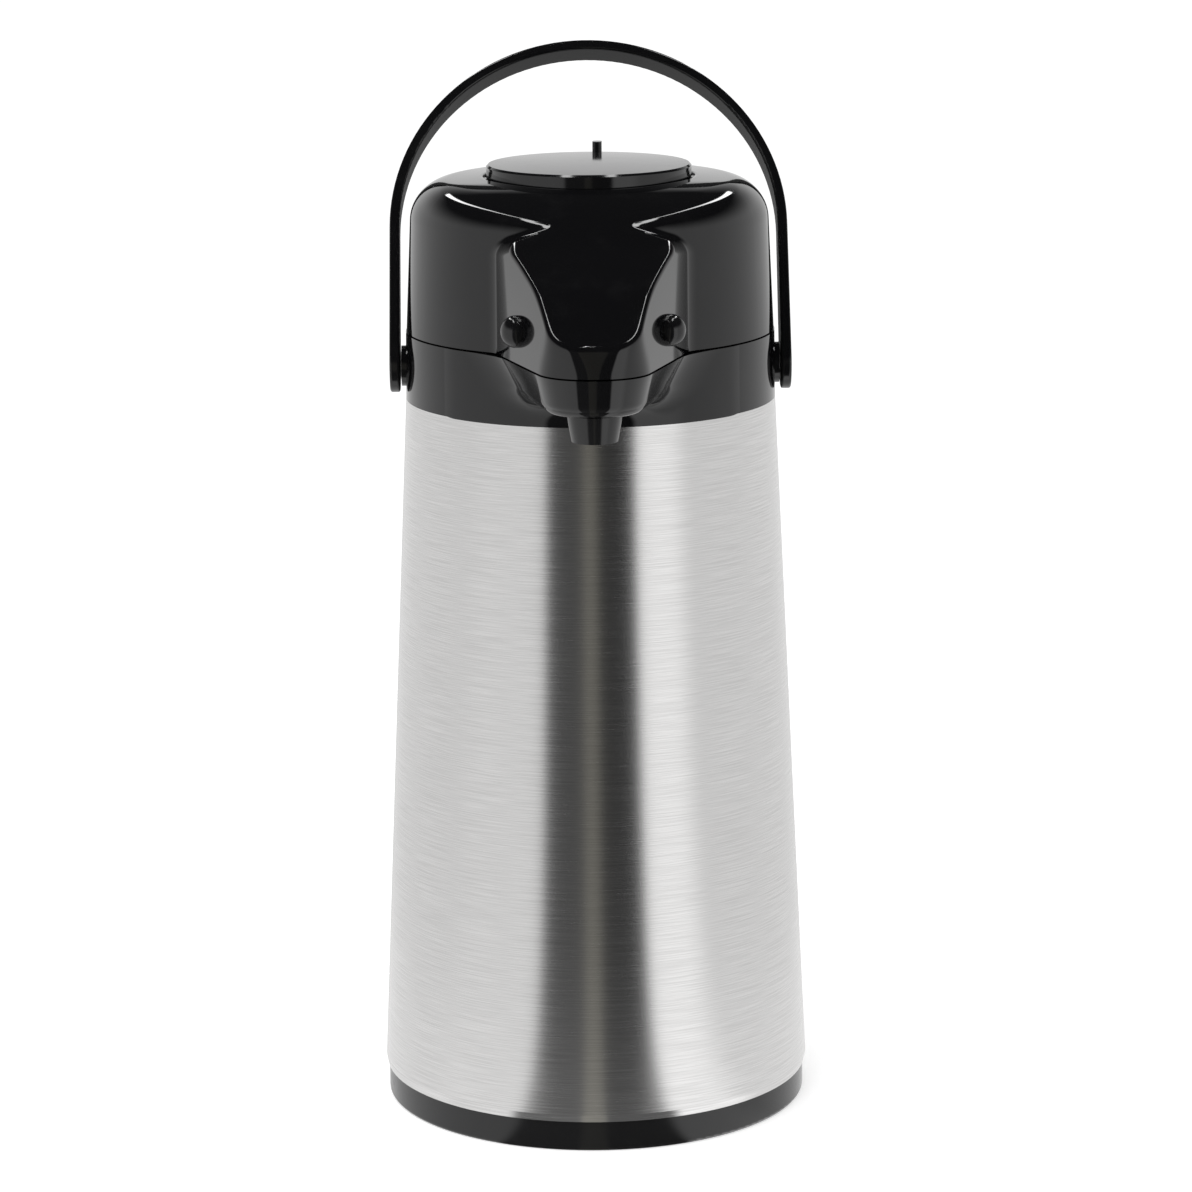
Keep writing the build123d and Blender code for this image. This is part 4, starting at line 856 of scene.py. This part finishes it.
coil, coilSizes = coilTree()
low, high = (Vector(corner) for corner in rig.box("return_spring"))
returnSpring = grow("returnCoil", {
    "Turns": springs["returnTurns"], "Radius": springs["returnR"], "Wire": springs["returnWire"],
    "Length": high.z - low.z - 2 * springs["returnWire"],
    "Place": (0.0, 0.0, low.z + springs["returnWire"]), "Tilt": (0.0, 0.0, 0.0),
})
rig.ride(returnSpring, "lid")
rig.replaces(returnSpring, "return_spring")
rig.squash(returnSpring, "pad_press", axis=(0, 0, 1), anchor=(0, 0, 0.314), keep=0.5)
for side, joint in ((-1, "left_release"), (1, "right_release")):
    low, high = (Vector(corner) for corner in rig.box(joint + "_spring"))
    out = Vector((side * springs["latchX"], springs["latchY"], 0.0))
    across = springs["latchR"] + springs["latchWire"]
    length = (high.x - low.x - 2 * across * abs(out.y)) / abs(out.x) - 2 * springs["latchWire"]
    start = (low + high) / 2 - out * (length / 2)
    latchSpring = grow(joint + "Coil", {
        "Turns": springs["latchTurns"], "Radius": springs["latchR"], "Wire": springs["latchWire"],
        "Length": length, "Place": tuple(start), "Tilt": tuple(out.to_track_quat("Z", "Y").to_euler()),
    })
    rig.ride(latchSpring, "lid")
    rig.replaces(latchSpring, joint + "_spring")
    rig.squash(latchSpring, joint + "_press", axis=tuple(out), anchor=tuple(start), keep=(length - 0.0034) / length)

bellows = {"outR": 34.0, "inR": 28.5, "wall": 1.0, "folds": 6, "foldSteps": 10, "step": 4.0, "clear": 0.05}


def buildBellows():
    low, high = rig.box("bellows")
    lowZ, highZ = low[2] / mm + bellows["clear"], high[2] / mm - bellows["clear"]
    turns = np.radians(np.arange(0.0, 360.0, bellows["step"]))
    run = np.linspace(0.0, 1.0, bellows["folds"] * bellows["foldSteps"] + 1)
    half = bellows["wall"] / 2
    middle = (bellows["outR"] + bellows["inR"]) / 2
    swing = (bellows["outR"] - bellows["inR"]) / 2 - half
    r = middle - swing * np.cos(run * 2 * math.pi * bellows["folds"])
    z = lowZ + bellows["wall"] + run * (highZ - lowZ - 2 * bellows["wall"])
    outer, inner = r + half, r - half
    allR = np.concatenate([outer[:1], outer, outer[-1:], inner[-1:], inner[::-1], inner[:1]])
    allZ = np.concatenate([[lowZ], z, [highZ], [highZ], z[::-1], [lowZ]])
    count, steps = len(turns), len(allR)
    points = turnedPoints(turns, np.broadcast_to(allR, (count, steps)), np.broadcast_to(allZ, (count, steps)))
    return addMesh("bellowsFolds", points, ringFaces(count, steps), "bellowsRubber")


bellowsObject = buildBellows()
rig.ride(bellowsObject, "lid")
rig.replaces(bellowsObject, "bellows")
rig.squash(bellowsObject, "pad_press", axis=(0, 0, 1), anchor=(0, 0, 0.314), keep=0.5)
print("springs and bellows ready")

visualBox = [list(corner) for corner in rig.bounds()]
with open("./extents.json", "w") as sizeFile:
    json.dump({"cad": cadBox, "visual": visualBox}, sizeFile)
